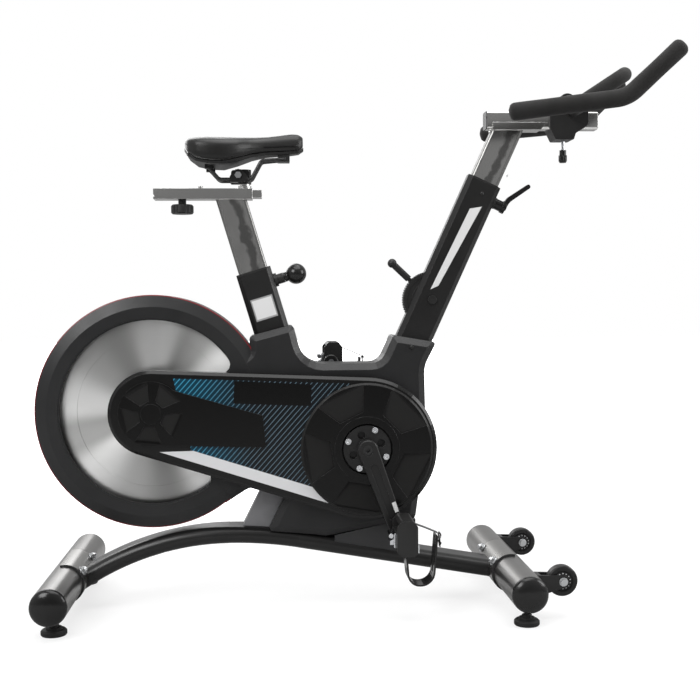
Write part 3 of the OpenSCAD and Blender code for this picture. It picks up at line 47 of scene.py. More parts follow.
# Heights at which the posts meet their rails, and where the bar rail's rear plug ends
SEAT_RAIL_Z = 0.828
BAR_RAIL_Z = 0.969
BAR_PLUG_X = 0.278
# Distances from the middle plane: face of the belt guard, of the two tubes and of the cranks
GUARD_Y = 0.084
TUBE_Y = 0.0207
CRANK_Y = 0.1115


# ---- materials ----
def put(tree, socket, value):
    """Links a socket to another one, or sets its number or colour."""
    if isinstance(value, bpy.types.NodeSocket):
        tree.links.new(value, socket)
    else:
        socket.default_value = value


def math_node(tree, kind, a, b=0.0):
    node = tree.nodes.new("ShaderNodeMath")
    node.operation = kind
    put(tree, node.inputs[0], a)
    put(tree, node.inputs[1], b)
    return node.outputs[0]


class Graph:
    """A material being built, with short names for the shader nodes it uses."""

    def __init__(self, name, base, rough, metal=0.0):
        self.mat = bpy.data.materials.new(name)
        self.mat.use_nodes = True
        self.tree = self.mat.node_tree
        self.shader = self.tree.nodes["Principled BSDF"]
        self.base, self.rough = (*base, 1.0), rough
        self.shader.inputs["Base Color"].default_value = self.base
        self.shader.inputs["Roughness"].default_value = rough
        self.shader.inputs["Metallic"].default_value = metal
        self.place = self.add("ShaderNodeTexCoord").outputs["Object"]
        self.normal = None
        self.axes = None

    def add(self, kind, settings=None, **inputs):
        node = self.tree.nodes.new(kind)
        for key, value in (settings or {}).items():
            setattr(node, key, value)
        for key, value in inputs.items():
            self.put(node.inputs[key.replace("_", " ")], value)
        return node

    def put(self, socket, value):
        put(self.tree, socket, value)

    def set(self, name, value):
        self.put(self.shader.inputs[name], value)
        return self

    def math(self, kind, a, b=0.0):
        return math_node(self.tree, kind, a, b)

    def xyz(self):
        if self.axes is None:
            self.axes = self.add("ShaderNodeSeparateXYZ", Vector=self.place).outputs
        return self.axes[0], self.axes[1], self.axes[2]

    def product(self, a, b):
        """Dot product of two vectors."""
        node = self.tree.nodes.new("ShaderNodeVectorMath")
        node.operation = "DOT_PRODUCT"
        self.put(node.inputs[0], a)
        self.put(node.inputs[1], b)
        return node.outputs["Value"]

    def dot(self, direction, offset=0.0):
        """How far a point lies along a direction, less an offset."""
        along = self.product(self.place, direction)
        return self.math("SUBTRACT", along, offset) if offset else along

    def step(self, value, low, high, smooth=False):
        """0 at low, 1 at high, and a ramp between them."""
        node = self.tree.nodes.new("ShaderNodeMapRange")
        node.interpolation_type = "SMOOTHSTEP" if smooth else "LINEAR"
        self.put(node.inputs["Value"], value)
        self.put(node.inputs["From Min"], low)
        self.put(node.inputs["From Max"], high)
        return node.outputs[0]

    def both(self, *masks):
        """1 where every mask is 1."""
        out = masks[0]
        for mask in masks[1:]:
            out = self.math("MULTIPLY", out, mask)
        return out

    def inverse(self, mask):
        return self.math("SUBTRACT", 1.0, mask)

    def noise(self, scale, detail=3.0, rough=0.5, stretch=None):
        where = self.place
        if stretch:
            where = self.add("ShaderNodeMapping", Vector=where, Scale=stretch).outputs[0]
        node = self.add("ShaderNodeTexNoise", Vector=where, Scale=scale, Detail=detail, Roughness=rough)
        return node.outputs[0]

    def cells(self, scale):
        """Distance to the nearest of many small cell centres."""
        return self.add("ShaderNodeTexVoronoi", Vector=self.place, Scale=scale).outputs["Distance"]

    def mix(self, mask, a, b):
        """Colour a where the mask is 0 and colour b where it is 1."""
        node = self.tree.nodes.new("ShaderNodeMix")
        node.data_type = "RGBA"
        self.put(node.inputs[0], mask)
        for socket, value in ((node.inputs[6], a), (node.inputs[7], b)):
            self.put(socket, value if isinstance(value, bpy.types.NodeSocket) else (*value[:3], 1.0))
        return node.outputs[2]

    def blend(self, mask, a, b):
        """Number a where the mask is 0 and number b where it is 1."""
        node = self.tree.nodes.new("ShaderNodeMix")
        self.put(node.inputs[0], mask)
        self.put(node.inputs[2], a)
        self.put(node.inputs[3], b)
        return node.outputs[0]

    def bump(self, height, distance, strength=1.0):
        node = self.add("ShaderNodeBump", Height=height, Distance=distance, Strength=strength)
        if self.normal is not None:
            self.put(node.inputs["Normal"], self.normal)
        self.normal = node.outputs[0]
        self.set("Normal", self.normal)
        return self

    def edges(self, radius=0.0008):
        """Rounds the shading of sharp edges and returns a mask that is 1 along them."""
        node = self.add("ShaderNodeBevel", {"samples": 4}, Radius=radius)
        true = self.add("ShaderNodeNewGeometry").outputs["Normal"]
        if self.normal is None:
            self.normal = node.outputs[0]
            self.set("Normal", self.normal)
        return self.step(self.product(node.outputs[0], true), 0.999, 0.86)

    def wear_and_highlight(self, edge, color, amount=0.6, rough=None):
        """Lighter, more polished edges, broken up by noise: partly edge wear, partly a painted highlight
        along the edges.
        """
        broken = self.math("MULTIPLY", edge, self.step(self.noise(160, 4), 0.35, 0.7))
        return self.paint(self.math("MULTIPLY", broken, amount), color, rough)

    def color(self):
        links = self.shader.inputs["Base Color"].links
        return links[0].from_socket if links else self.base

    def roughness(self):
        links = self.shader.inputs["Roughness"].links
        return links[0].from_socket if links else self.rough

    def vary(self, scale=7.0, amount=0.25, spread=0.06):
        """Slow changes of shade and of roughness over the surface."""
        shade = self.step(self.noise(scale, 4), 0.3, 0.7)
        self.paint(self.math("MULTIPLY", shade, amount * 0.05), (0.5, 0.5, 0.5))
        smear = self.step(self.noise(scale * 3.1, 5), 0.3, 0.7)
        self.set("Roughness", self.blend(smear, self.rough - spread, self.rough + spread))
        return self

    def polygon(self, points, soft=0.0003):
        """Mask of a convex outline in X and Z, given counter-clockwise or clockwise."""
        sides = list(zip(points, points[1:] + points[:1]))
        turn = sum(a[0] * b[1] - b[0] * a[1] for a, b in sides)
        out = None
        for a, b in sides:
            dx, dz = b[0] - a[0], b[1] - a[1]
            n = Vector((-dz, 0, dx)) if turn > 0 else Vector((dz, 0, -dx))
            n.normalize()
            mask = self.step(self.dot(n, n.x * a[0] + n.z * a[1]), -soft, soft)
            out = mask if out is None else self.math("MINIMUM", out, mask)
        return out

    def radius(self, x, z):
        """Distance from the line along Y through (x, z)."""
        dx, dz = self.offset(x, z)
        square = self.math("ADD", self.math("MULTIPLY", dx, dx), self.math("MULTIPLY", dz, dz))
        return self.math("SQRT", square)

    def angle(self, x, z):
        """Angle round the line along Y through (x, z)."""
        dx, dz = self.offset(x, z)
        return self.math("ARCTAN2", dz, dx)

    def offset(self, x, z):
        px, _, pz = self.xyz()
        return self.math("SUBTRACT", px, x), self.math("SUBTRACT", pz, z)

    def paint(self, mask, color, rough=None):
        """Gives the masked part its own colour and, if given, roughness."""
        self.set("Base Color", self.mix(mask, self.color(), color))
        if rough is not None:
            self.set("Roughness", self.blend(mask, self.roughness(), rough))
        return self

    def side(self, limit):
        """1 where a point lies further than limit from the middle plane."""
        return self.step(self.math("ABSOLUTE", self.xyz()[1]), limit - 0.0002, limit + 0.0002)


def mm(*points):
    """Outline points from millimetres to metres."""
    return [(x / 1000, z / 1000) for x, z in points]


def black_paint(name="frame_paint"):
    """Black powder coat with a fine grain, and edges lightened partly as wear and partly as painted
    highlight.
    """
    g = Graph(name, (0.0075, 0.0073, 0.0072), 0.33)
    edge = g.edges(0.0012)
    g.vary(5, 0.3, 0.05)
    # edges lightened in colour: partly wear, partly painted highlight
    g.wear_and_highlight(edge, (0.07, 0.07, 0.07), 0.5, 0.25)
    g.bump(g.noise(900, 2), 0.00004, 0.5)
    g.set("Coat Weight", 0.12).set("Coat Roughness", 0.18).set("Specular IOR Level", 0.30)
    return g


def moulded(name, base=(0.009, 0.0088, 0.0086), rough=0.42, grain=1500, depth=0.00006):
    """Moulded plastic with a leather-like grain."""
    g = Graph(name, base, rough)
    edge = g.edges(0.0009)
    g.vary(6, 0.35, 0.05)
    # edges lightened in colour: partly wear, partly painted highlight
    g.wear_and_highlight(edge, (0.06, 0.06, 0.06), 0.45, rough - 0.12)
    g.bump(g.cells(grain), depth, 0.7)
    g.set("Specular IOR Level", 0.34)
    return g


def shell_material():
    """Grained black shell with a thin red line round the flywheel housing."""
    g = moulded("shell_plastic", (0.0085, 0.0085, 0.009), 0.36, 1300, 0.00005)
    r = g.radius(*HUB)
    ring = g.both(g.step(r, 0.2318, 0.2322), g.step(r, 0.2348, 0.2344))
    rim = g.both(ring, g.side(0.0385), g.inverse(g.side(0.0418)))
    g.paint(rim, (0.16, 0.004, 0.008), 0.35)
    return g.mat


def guard_material():
    """Gloss black guard with a ribbed blue field that fades to grey, a black plate and a white band."""
    g = Graph("guard_print", (0.0045, 0.0044, 0.0043), 0.2)
    edge = g.edges(0.001)
    face = g.step(g.dot((0, -1, 0)), GUARD_Y - 0.0012, GUARD_Y - 0.0008)
    x, _, _ = g.xyz()
    area = g.polygon(mm((-359, 471), (-9, 457), (-84, 250.4), (-325, 327.6)))
    fade = g.step(x, -0.35, -0.19, True)
    ground = g.mix(fade, (0.002, 0.036, 0.062), (0.0030, 0.0050, 0.0070))
    line = g.mix(fade, (0.045, 0.28, 0.44), (0.075, 0.115, 0.145))
    across = g.dot((0.0785, 0, -0.0700))
    wave = g.math("FRACT", g.math("MULTIPLY", across, 1180))
    ribs = g.both(g.step(wave, 0.02, 0.06), g.step(wave, 0.26, 0.22))
    g.paint(g.both(area, face), g.mix(ribs, ground, line))
    plate = g.polygon(mm((-239, 465), (-86, 456), (-88.5, 413), (-241, 420)))
    g.paint(g.both(plate, face), (0.0018, 0.0018, 0.0018), 0.14)
    band = g.polygon(mm((-387, 326.3), (-321, 327.5), (-84, 250.4), (-55, 218)))
    g.paint(g.both(band, face), (0.62, 0.62, 0.63), 0.24)
    # edges lightened in colour: partly wear, partly painted highlight
    g.wear_and_highlight(edge, (0.07, 0.07, 0.07), 0.35, 0.2)
    g.bump(g.noise(260, 3), 0.00005, 0.35)
    g.set("Coat Weight", 0.2).set("Coat Roughness", 0.07).set("Specular IOR Level", 0.20)
    return g.mat


def cover_material(name, top):
    """Gloss rings and flats with matt, finely textured sunken facets."""
    g = Graph(name, (0.0042, 0.0041, 0.0040), 0.17)
    edge = g.edges(0.0009)
    sunk = g.step(g.dot((0, -1, 0)), top - 0.0002, top - 0.0006)
    g.set("Roughness", g.blend(sunk, 0.17, 0.44))
    g.set("Base Color", g.mix(sunk, g.base, (0.0105, 0.0103, 0.0100)))
    # facet edges lightened in colour: partly wear, partly painted highlight
    g.wear_and_highlight(edge, (0.13, 0.13, 0.13), 0.5)
    g.bump(g.math("MULTIPLY", g.cells(1100), sunk), 0.00007, 0.8)
    g.set("Coat Weight", 0.12).set("Coat Roughness", 0.08).set("Specular IOR Level", 0.15)
    return g.mat


def polished(name, base=(0.62, 0.63, 0.65), rough=0.14, along=None, marks=0.05, drawn=0.4):
    """Chrome or bright steel with fine drawing marks along an axis, and smudges."""
    g = Graph(name, base, rough, 1.0)
    g.edges(0.0008)
    smudge = g.step(g.noise(14, 5, 0.6), 0.35, 0.75)
    fine = g.noise(260, 2, 0.5, along or (1, 1, 1))
    g.set("Roughness", g.math("ADD", g.blend(smudge, rough, rough + marks), g.math("MULTIPLY", fine, 0.03)))
    g.set("Base Color", g.mix(g.math("MULTIPLY", smudge, 0.22), g.base, tuple(0.72 * v for v in base)))
    g.bump(fine, 0.000003, drawn)
    return g


def post_material(name, across, top, rail, plug=None):
    """Chrome post with a painted reflection, a dark streak of the room painted below its rail, and narrow
    faces darkened with painted shade and made duller.

    across is the direction over the post's broad face, and plug is where a rail's rear plug ends.
    """
    g = polished(name, (0.84, 0.835, 0.82), 0.15, (1, 1, 0.05))
    u = g.math("SUBTRACT", g.dot(across), across.dot(Vector((top[0], 0, top[1]))))
    wave = g.math("MULTIPLY", g.math("SUBTRACT", g.noise(26, 4, 0.6), 0.5), 0.035)
    painted_reflection = g.math("ABSOLUTE", g.math("ADD", g.math("SUBTRACT", u, 0.008), wave))
    below = g.step(g.xyz()[2], rail, rail - 0.001)
    painted_reflection = g.both(g.step(painted_reflection, 0.0095, 0.0045), below)
    # painted reflection: the wavy dark streak of the room that the chrome mirrors, painted into the colour
    # below the rail
    g.paint(g.math("MULTIPLY", painted_reflection, 0.66), (0.10, 0.098, 0.095), 0.2)
    # painted shade: the narrow faces below the rail are painted darker, and made rougher
    g.paint(g.both(g.step(g.math("ABSOLUTE", u), 0.0225, 0.0255), below), (0.24, 0.238, 0.232), 0.3)
    if plug:
        x, _, z = g.xyz()
        end = g.both(g.step(z, rail - 0.001, rail), g.step(x, plug + 0.0025, plug + 0.002))
        g.paint(end, (0.02, 0.02, 0.021), 0.5)
        g.set("Metallic", g.inverse(end))
    return g.mat


def plate_material():
    """Silver saddle plates, coloured black beyond 70 mm from the middle plane at their outer ends."""
    g = polished("plate_silver", (0.32, 0.315, 0.305), 0.25, (1, 0.3, 1), 0.05, 0.04)
    dark_ends = g.side(0.0700)
    # the outer ends, beyond 70 mm from the middle plane, are coloured black
    g.paint(dark_ends, (0.015, 0.015, 0.015), 0.5)
    g.set("Metallic", g.inverse(dark_ends))
    return g.mat


def brace_material():
    """Grey paint on the rear strut and black paint on the front gusset."""
    g = Graph("brace_paint", (0.014, 0.014, 0.015), 0.36)
    edge = g.edges(0.001)
    strut = g.step(g.xyz()[0], -0.110, -0.112)
    g.vary(6, 0.2)
    grey = g.mix(g.step(g.noise(30, 4), 0.3, 0.7), (0.15, 0.15, 0.157), (0.19, 0.19, 0.197))
    g.paint(strut, grey, 0.36)
    # edges lightened in colour: partly wear, partly painted highlight
    g.wear_and_highlight(edge, (0.12, 0.12, 0.12), 0.4)
    g.bump(g.noise(900, 2), 0.00004, 0.5)
    return g.mat


def flywheel_material():
    """Turned steel: fine rings, and a fan of light and dark beams round the hub, painted into the colour as
    painted highlight and painted shade.
    """
    g = Graph("turned_steel", (0.64, 0.64, 0.645), 0.30, 1.0)
    one_way = {"noise_dimensions": "1D"}
    cuts = g.add("ShaderNodeTexNoise", one_way, W=g.radius(*HUB), Scale=2600.0, Detail=2.0).outputs[0]
    angle = g.angle(*HUB)
    lobes = g.math("COSINE", g.math("SUBTRACT", g.math("MULTIPLY", angle, 5.0), 1.6))
    finer = g.math("COSINE", g.math("ADD", g.math("MULTIPLY", angle, 8.0), 0.7))
    painted_light_fan = g.step(g.math("ADD", lobes, g.math("MULTIPLY", finer, 0.5)), -1.2, 1.4, True)
    g.set("Roughness", g.blend(painted_light_fan, 0.46, 0.36))
    # painted highlight and painted shade: bright and dark beams of reflected light, painted in by angle
    # round the hub
    painted_beams = g.mix(painted_light_fan, (0.30, 0.30, 0.295), (1.0, 1.0, 0.99))
    g.set("Base Color", g.mix(g.math("MULTIPLY", cuts, 0.25), painted_beams, (0.50, 0.50, 0.495)))
    g.set("Specular IOR Level", 1.0)
    g.bump(cuts, 0.00001, 0.5)
    g.set("Anisotropic", 0.8)
    tangent = g.add("ShaderNodeTangent", {"direction_type": "RADIAL", "axis": "Y"}).outputs[0]
    g.set("Tangent", tangent)
    return g.mat


def rubber(name, base=(0.0095, 0.0093, 0.0090), rough=0.62, scale=700, depth=0.00012):
    """Black rubber with a fine uneven surface."""
    g = Graph(name, base, rough)
    edge = g.edges(0.0008)
    g.vary(9, 0.25, 0.08)
    # edges lightened in colour: partly wear, partly painted highlight
    g.wear_and_highlight(edge, (0.07, 0.07, 0.07), 0.5)
    g.bump(g.noise(scale, 4, 0.6), depth, 0.6)
    g.set("Specular IOR Level", 0.3)
    return g


def wheel_material(name):
    """Black wheel with a ring of bright bearing balls."""
    g = rubber(name, (0.007, 0.0069, 0.0068), 0.30, 300, 0.00003)
    balls_round = 14
    turn = g.math("FRACT", g.math("MULTIPLY", g.angle(*WHEEL), balls_round / (2 * math.pi)))
    spot = g.math("ABSOLUTE", g.math("SUBTRACT", turn, 0.5))
    ring = g.math("ABSOLUTE", g.math("SUBTRACT", g.radius(*WHEEL), 0.0148))
    far = g.math("ADD", g.math("POWER", g.math("MULTIPLY", spot, 0.0066), 2), g.math("POWER", ring, 2))
    balls = g.step(far, 0.0000016, 0.0000009)
    g.paint(balls, (0.55, 0.55, 0.56), 0.2)
    return g.mat


def foam_material():
    """Matt foam with open pores."""
    g = Graph("grip_foam", (0.0125, 0.0120, 0.0115), 0.86)
    g.vary(11, 0.3, 0.05)
    g.bump(g.cells(950), 0.00016, 0.8)
    g.bump(g.noise(55, 3), 0.0005, 0.35)
    g.set("Sheen Weight", 0.08).set("Sheen Roughness", 0.5).set("Specular IOR Level", 0.25)
    return g.mat


def vinyl_material():
    """Saddle vinyl with a soft leather grain."""
    g = Graph("saddle_vinyl", (0.0075, 0.0073, 0.0070), 0.36)
    g.vary(8, 0.3, 0.05)
    rounded = {"feature": "SMOOTH_F1"}
    grain = g.add("ShaderNodeTexVoronoi", rounded, Vector=g.place, Scale=620.0, Smoothness=0.6)
    g.bump(grain.outputs["Distance"], 0.00010, 0.6)
    g.bump(g.noise(2400, 2), 0.00002, 0.4)
    g.bump(g.noise(26, 3, 0.5), 0.0007, 0.25)
    g.set("Sheen Weight", 0.03).set("Specular IOR Level", 0.30)
    return g.mat


def webbing_material():
    """Woven webbing: weft and warp threads 1.5 mm apart."""
    g = Graph("strap_webbing", (0.014, 0.014, 0.015), 0.72)
    x, y, z = g.xyz()
    threads = 4200
    weft = g.math("SINE", g.math("MULTIPLY", g.math("ADD", y, g.math("MULTIPLY", x, 0.5)), threads))
    warp = g.math("SINE", g.math("MULTIPLY", g.math("SUBTRACT", z, g.math("MULTIPLY", y, 0.5)), threads))
    weave = g.math("MULTIPLY", weft, warp)
    g.set("Base Color", g.mix(g.step(weave, -0.6, 0.6), (0.009, 0.009, 0.010), (0.035, 0.035, 0.036)))
    g.bump(weave, 0.00012, 0.7)
    g.set("Sheen Weight", 0.3)
    return g.mat


def crank_material():
    """Black crank with a bare pale sticker near its end."""
    g = black_paint("crank_paint")
    face = g.step(g.dot((0, -1, 0)), CRANK_Y, CRANK_Y + 0.0003)
    sticker = g.polygon(mm((57, 216), (79, 225), (86, 205.5), (64, 196.5)))
    g.paint(g.both(sticker, face), (0.60, 0.60, 0.60), 0.4)
    return g.mat


def seat_tube_material():
    """Black tube with a bare white label in a grey frame."""
    g = black_paint("seat_tube_paint")
    face = g.step(g.dot((0, -1, 0)), TUBE_Y - 0.0001, TUBE_Y + 0.0001)
    label = g.polygon(mm((-207, 623), (-163, 636), (-150.5, 592.5), (-194, 579.3)))
    inner = g.polygon(mm((-203.8, 620.8), (-164.9, 632.2), (-153.7, 594.9), (-192.6, 583.4)))
    g.paint(g.both(label, face), (0.30, 0.30, 0.30), 0.3)
    g.paint(g.both(inner, face), (0.66, 0.66, 0.66), 0.3)
    return g.mat


def front_tube_material():
    """Black tube with one plain tapered white stripe on each side."""
    g = black_paint("front_tube_paint")
    # corners as metres along the tube from its mouth, and metres across it
    corners = ((-0.062, -0.006), (-0.048, 0.015), (-0.232, 0.000), (-0.246, -0.012))
    stripe = g.polygon([(BAR_TOP[0] + along * math.sin(BAR_LEAN) + across * math.cos(BAR_LEAN),
                         BAR_TOP[1] + along * math.cos(BAR_LEAN) - across * math.sin(BAR_LEAN))
                        for along, across in corners])
    g.paint(g.both(stripe, g.side(TUBE_Y)), (0.66, 0.66, 0.66), 0.3)
    return g.mat


def pin_material(name, split, axis):
    """Black moulded ball or handle on a bright steel neck: bright below split along axis."""
    g = moulded(name, (0.0065, 0.0064, 0.0062), 0.22, 1500, 0.00002)
    neck = g.step(g.dot(axis), split, split - 0.0004)
    g.paint(neck, (0.62, 0.63, 0.65), 0.18)
    g.set("Metallic", neck)
    return g.mat


PAINT = black_paint().mat
PLASTIC = moulded("moulded_plastic").mat
GLOSS = moulded("gloss_plastic", (0.005, 0.0049, 0.0048), 0.18, 1500, 0.00001).mat
STEEL = polished("zinc_steel", (0.58, 0.59, 0.60), 0.26).mat
DARK_STEEL = polished("dark_steel", (0.07, 0.07, 0.07), 0.32).mat
BRIGHT = polished("bright_chrome", (0.70, 0.71, 0.73), 0.10).mat
SLIDE = polished("slide_chrome", (0.70, 0.695, 0.68), 0.20, (0.05, 1, 1)).mat
RUBBER = rubber("black_rubber").mat
FOAM = foam_material()
VINYL = vinyl_material()
WEBBING = webbing_material()
SHELL = shell_material()
seat_front = Vector((math.cos(SEAT_LEAN), 0, math.sin(SEAT_LEAN)))
bar_front = Vector((math.cos(BAR_LEAN), 0, -math.sin(BAR_LEAN)))
# where the black ball of the seat pin and the black handle of the bar pin begin
seat_pin_split = seat_front.dot(Vector((-0.1465, 0, 0.668)))
bar_pin_split = -0.9298

LOOKS = {
    "main_beam": PAINT,
    "stabilizers": polished("stabilizer_silver", (0.25, 0.245, 0.24), 0.27, (1, 0.05, 1), 0.05, 0.04).mat,
    "stabilizer_caps": GLOSS, "saddle_plates": plate_material(), "frame_bolts": STEEL,
    "front_tube": front_tube_material(), "seat_tube": seat_tube_material(),
    "frame_braces": brace_material(), "drive_carrier": PAINT, "ball_bearings": STEEL,
    "left_shell": SHELL, "right_shell": SHELL, "belt_guard": guard_material(),
    "crank_cover": cover_material("crank_cover_gloss", 0.0921),
    "hub_cover": cover_material("hub_cover_gloss", 0.0881),
    "small_screws": DARK_STEEL, "belt": RUBBER, "tube_bushings": PLASTIC, "tube_fittings": PLASTIC,
    "wheel_forks": PAINT, "brake_housing": PLASTIC,
    "flywheel": flywheel_material(), "flywheel_shaft": STEEL,
    "crank_axle": DARK_STEEL, "crank_pulley": PLASTIC, "spider_screws": BRIGHT,
    "crank_arms": crank_material(), "pedal_spindles": STEEL,
    "seat_post": post_material("seat_post_chrome", seat_front, SEAT_TOP, SEAT_RAIL_Z),
    "seat_slider": SLIDE, "slider_knob": PLASTIC, "saddle_clamp": PAINT, "saddle_cheeks": PAINT,
    "saddle_bolt": STEEL, "saddle_rails": DARK_STEEL, "saddle_base": PLASTIC,
    "seat_pin": pin_material("seat_pin_ball", seat_pin_split, seat_front),
    "bar_post": post_material("bar_post_chrome", bar_front, BAR_TOP, BAR_RAIL_Z, BAR_PLUG_X),
    "bar_carriage": PLASTIC, "handlebar": PAINT,
    "bar_pin": pin_material("bar_pin_handle", bar_pin_split, (0, 0, -1)),
    "clamp_lever": GLOSS, "resistance_lever": PLASTIC, "brake_arm": PAINT,
    "wheel_left": wheel_material("wheel_left_black"), "wheel_right": wheel_material("wheel_right_black"),
    "bar_grips": FOAM, "saddle_cushion": VINYL,
}
for side in ("left", "right"):
    LOOKS["pedal_" + side] = PLASTIC
    LOOKS["cleat_" + side] = BRIGHT
    LOOKS["toe_clip_" + side] = GLOSS
    LOOKS["toe_strap_" + side] = WEBBING
    LOOKS["foot_rear_" + side] = RUBBER
    LOOKS["foot_front_" + side] = RUBBER
for name, mat in LOOKS.items():
    mesh = nodes[name].data
    mesh.materials.clear()
    mesh.materials.append(mat)


# ---- pieces built here ----
def new_piece(name, points, faces, mat, body, slot, smooth=True):
    """A mesh object that rides on a body; slot, a material slot's name, is not used."""
    mesh = bpy.data.meshes.new(name)
    mesh.from_pydata([tuple(p) for p in points], [], faces)
    mesh.validate()
    mesh.materials.append(mat)
    obj = bpy.data.objects.new(name, mesh)
    bpy.context.scene.collection.objects.link(obj)
    if smooth:
        mesh.polygons.foreach_set("use_smooth", [True] * len(mesh.polygons))
    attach(obj, body)
    return obj


def skin(rings):
    """Points and faces of a stack of equal rings, with a fan on each end."""
    n = len(rings[0])
    points = [p for ring in rings for p in ring]
    faces = [(k * n + i, k * n + (i + 1) % n, (k + 1) * n + (i + 1) % n, (k + 1) * n + i)
             for k in range(len(rings) - 1) for i in range(n)]
    for k, order in ((0, 1), (len(rings) - 1, -1)):
        middle = sum((Vector(p) for p in rings[k]), Vector()) / n
        points.append(middle)
        c = len(points) - 1
        for i in range(n):
            a, b = k * n + i, k * n + (i + 1) % n
            faces.append((c, b, a) if order > 0 else (c, a, b))
    return points, faces


def curve_through(values, t):
    """Catmull-Rom through rows of numbers; t runs from 0 to the last row."""
    i = min(int(t), len(values) - 2)
    u = t - i
    rows = [values[max(0, min(len(values) - 1, i + k))] for k in (-1, 0, 1, 2)]
    return [0.5 * (2 * b + (c - a) * u + (2 * a - 5 * b + 4 * c - d) * u * u
                   + (3 * b - a - 3 * c + d) * u ** 3)
            for a, b, c, d in zip(*rows)]


def rounded_path(points, bend, steps=14):
    """A path whose inner corners are arcs of one radius."""
    out = [Vector(points[0])]
    for a, b, c in zip(points, points[1:], points[2:]):
        a, b, c = Vector(a), Vector(b), Vector(c)
        u, v = (b - a).normalized(), (c - b).normalized()
        t = u.angle(v)
        reach = bend * math.tan(t / 2)
        n = u.cross(v).normalized()
        inward = n.cross(u)
        centre = b - u * reach + inward * bend
        for i in range(steps + 1):
            out.append(centre + Matrix.Rotation(t * i / steps, 3, n) @ (-inward * bend))
    out.append(Vector(points[-1]))
    return out


def resample(path, spacing):
    """Points along a path, all one spacing apart but for the last."""
    out, rest = [path[0]], spacing
    for a, b in zip(path, path[1:]):
        length = (b - a).length
        while rest < length:
            out.append(a.lerp(b, rest / length))
            rest += spacing
        rest -= length
    out.append(path[-1])
    return out


def sweep(path, radius_at, n=32):
    """Rings round a path; radius_at(share of the way, metres from the start, metres to the end)."""
    total = sum((b - a).length for a, b in zip(path, path[1:]))
    up, done, rings = Vector((0, 0, 1)), 0.0, []
    for i, p in enumerate(path):
        if i:
            done += (p - path[i - 1]).length
        d = (path[min(i + 1, len(path) - 1)] - path[max(i - 1, 0)]).normalized()
        side = d.cross(up).normalized()
        top = side.cross(d)
        r = radius_at(done / total, done, total - done)
        rings.append([p + r * (math.cos(a) * side + math.sin(a) * top)
                      for a in (2 * math.pi * k / n for k in range(n))])
    return rings


def grips():
    """Foam sleeves with rounded ends: two with a slight swell on the bars, and one on the loop."""
    bar_r, loop_r = 0.0172, 0.0150

    def rounding(start, end, length):
        """0 at both ends and 1 from the given length on, along a quarter circle."""
        near = min(start, end)
        return math.sqrt(max(0.0, 1 - (1 - min(near / length, 1.0)) ** 2))

    def foam(share, start, end):
        cap = rounding(start, end, 0.012)
        return bar_r * (0.30 + 0.70 * cap) * (1 + 0.012 * math.sin(share * 21) * cap)

    def sleeve(share, start, end):
        return loop_r - 0.0023 * (1 - rounding(start, end, 0.004))

    for s, side in ((-1, "left"), (1, "right")):
        g0 = Vector((0.309, s * 0.146, 0.9845))
        bend = g0 + Vector((0.214, s * 0.024, 0.025))
        tip = bend + Vector((0.0965, s * 0.016, 0.091))
        d0, d1 = (bend - g0).normalized(), (tip - bend).normalized()
        over = 0.0118  # how far the foam reaches past each end of the bar's axis
        path = resample(rounded_path([g0 - d0 * over, bend, tip + d1 * over], 0.062), 0.0035)
        obj = new_piece("grip_" + side, *skin(sweep(path, foam, 40)), FOAM, "bar_carriage", "grip_foam")
        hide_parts("bar_grips")
    legs = [Vector((0.446, 0.045, 1.0045)), Vector((0.567, 0.045, 1.0835))]
    u = (legs[1] - legs[0]).normalized()
    a, b = legs[0] + u * 0.026, legs[1]
    loop = [a, b, Vector((b.x, -b.y, b.z)), Vector((a.x, -a.y, a.z))]
    path = resample(rounded_path(loop, 0.038), 0.0035)
    obj = new_piece("grip_loop", *skin(sweep(path, sleeve, 32)), FOAM, "bar_carriage", "grip_foam")
    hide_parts("bar_grips")


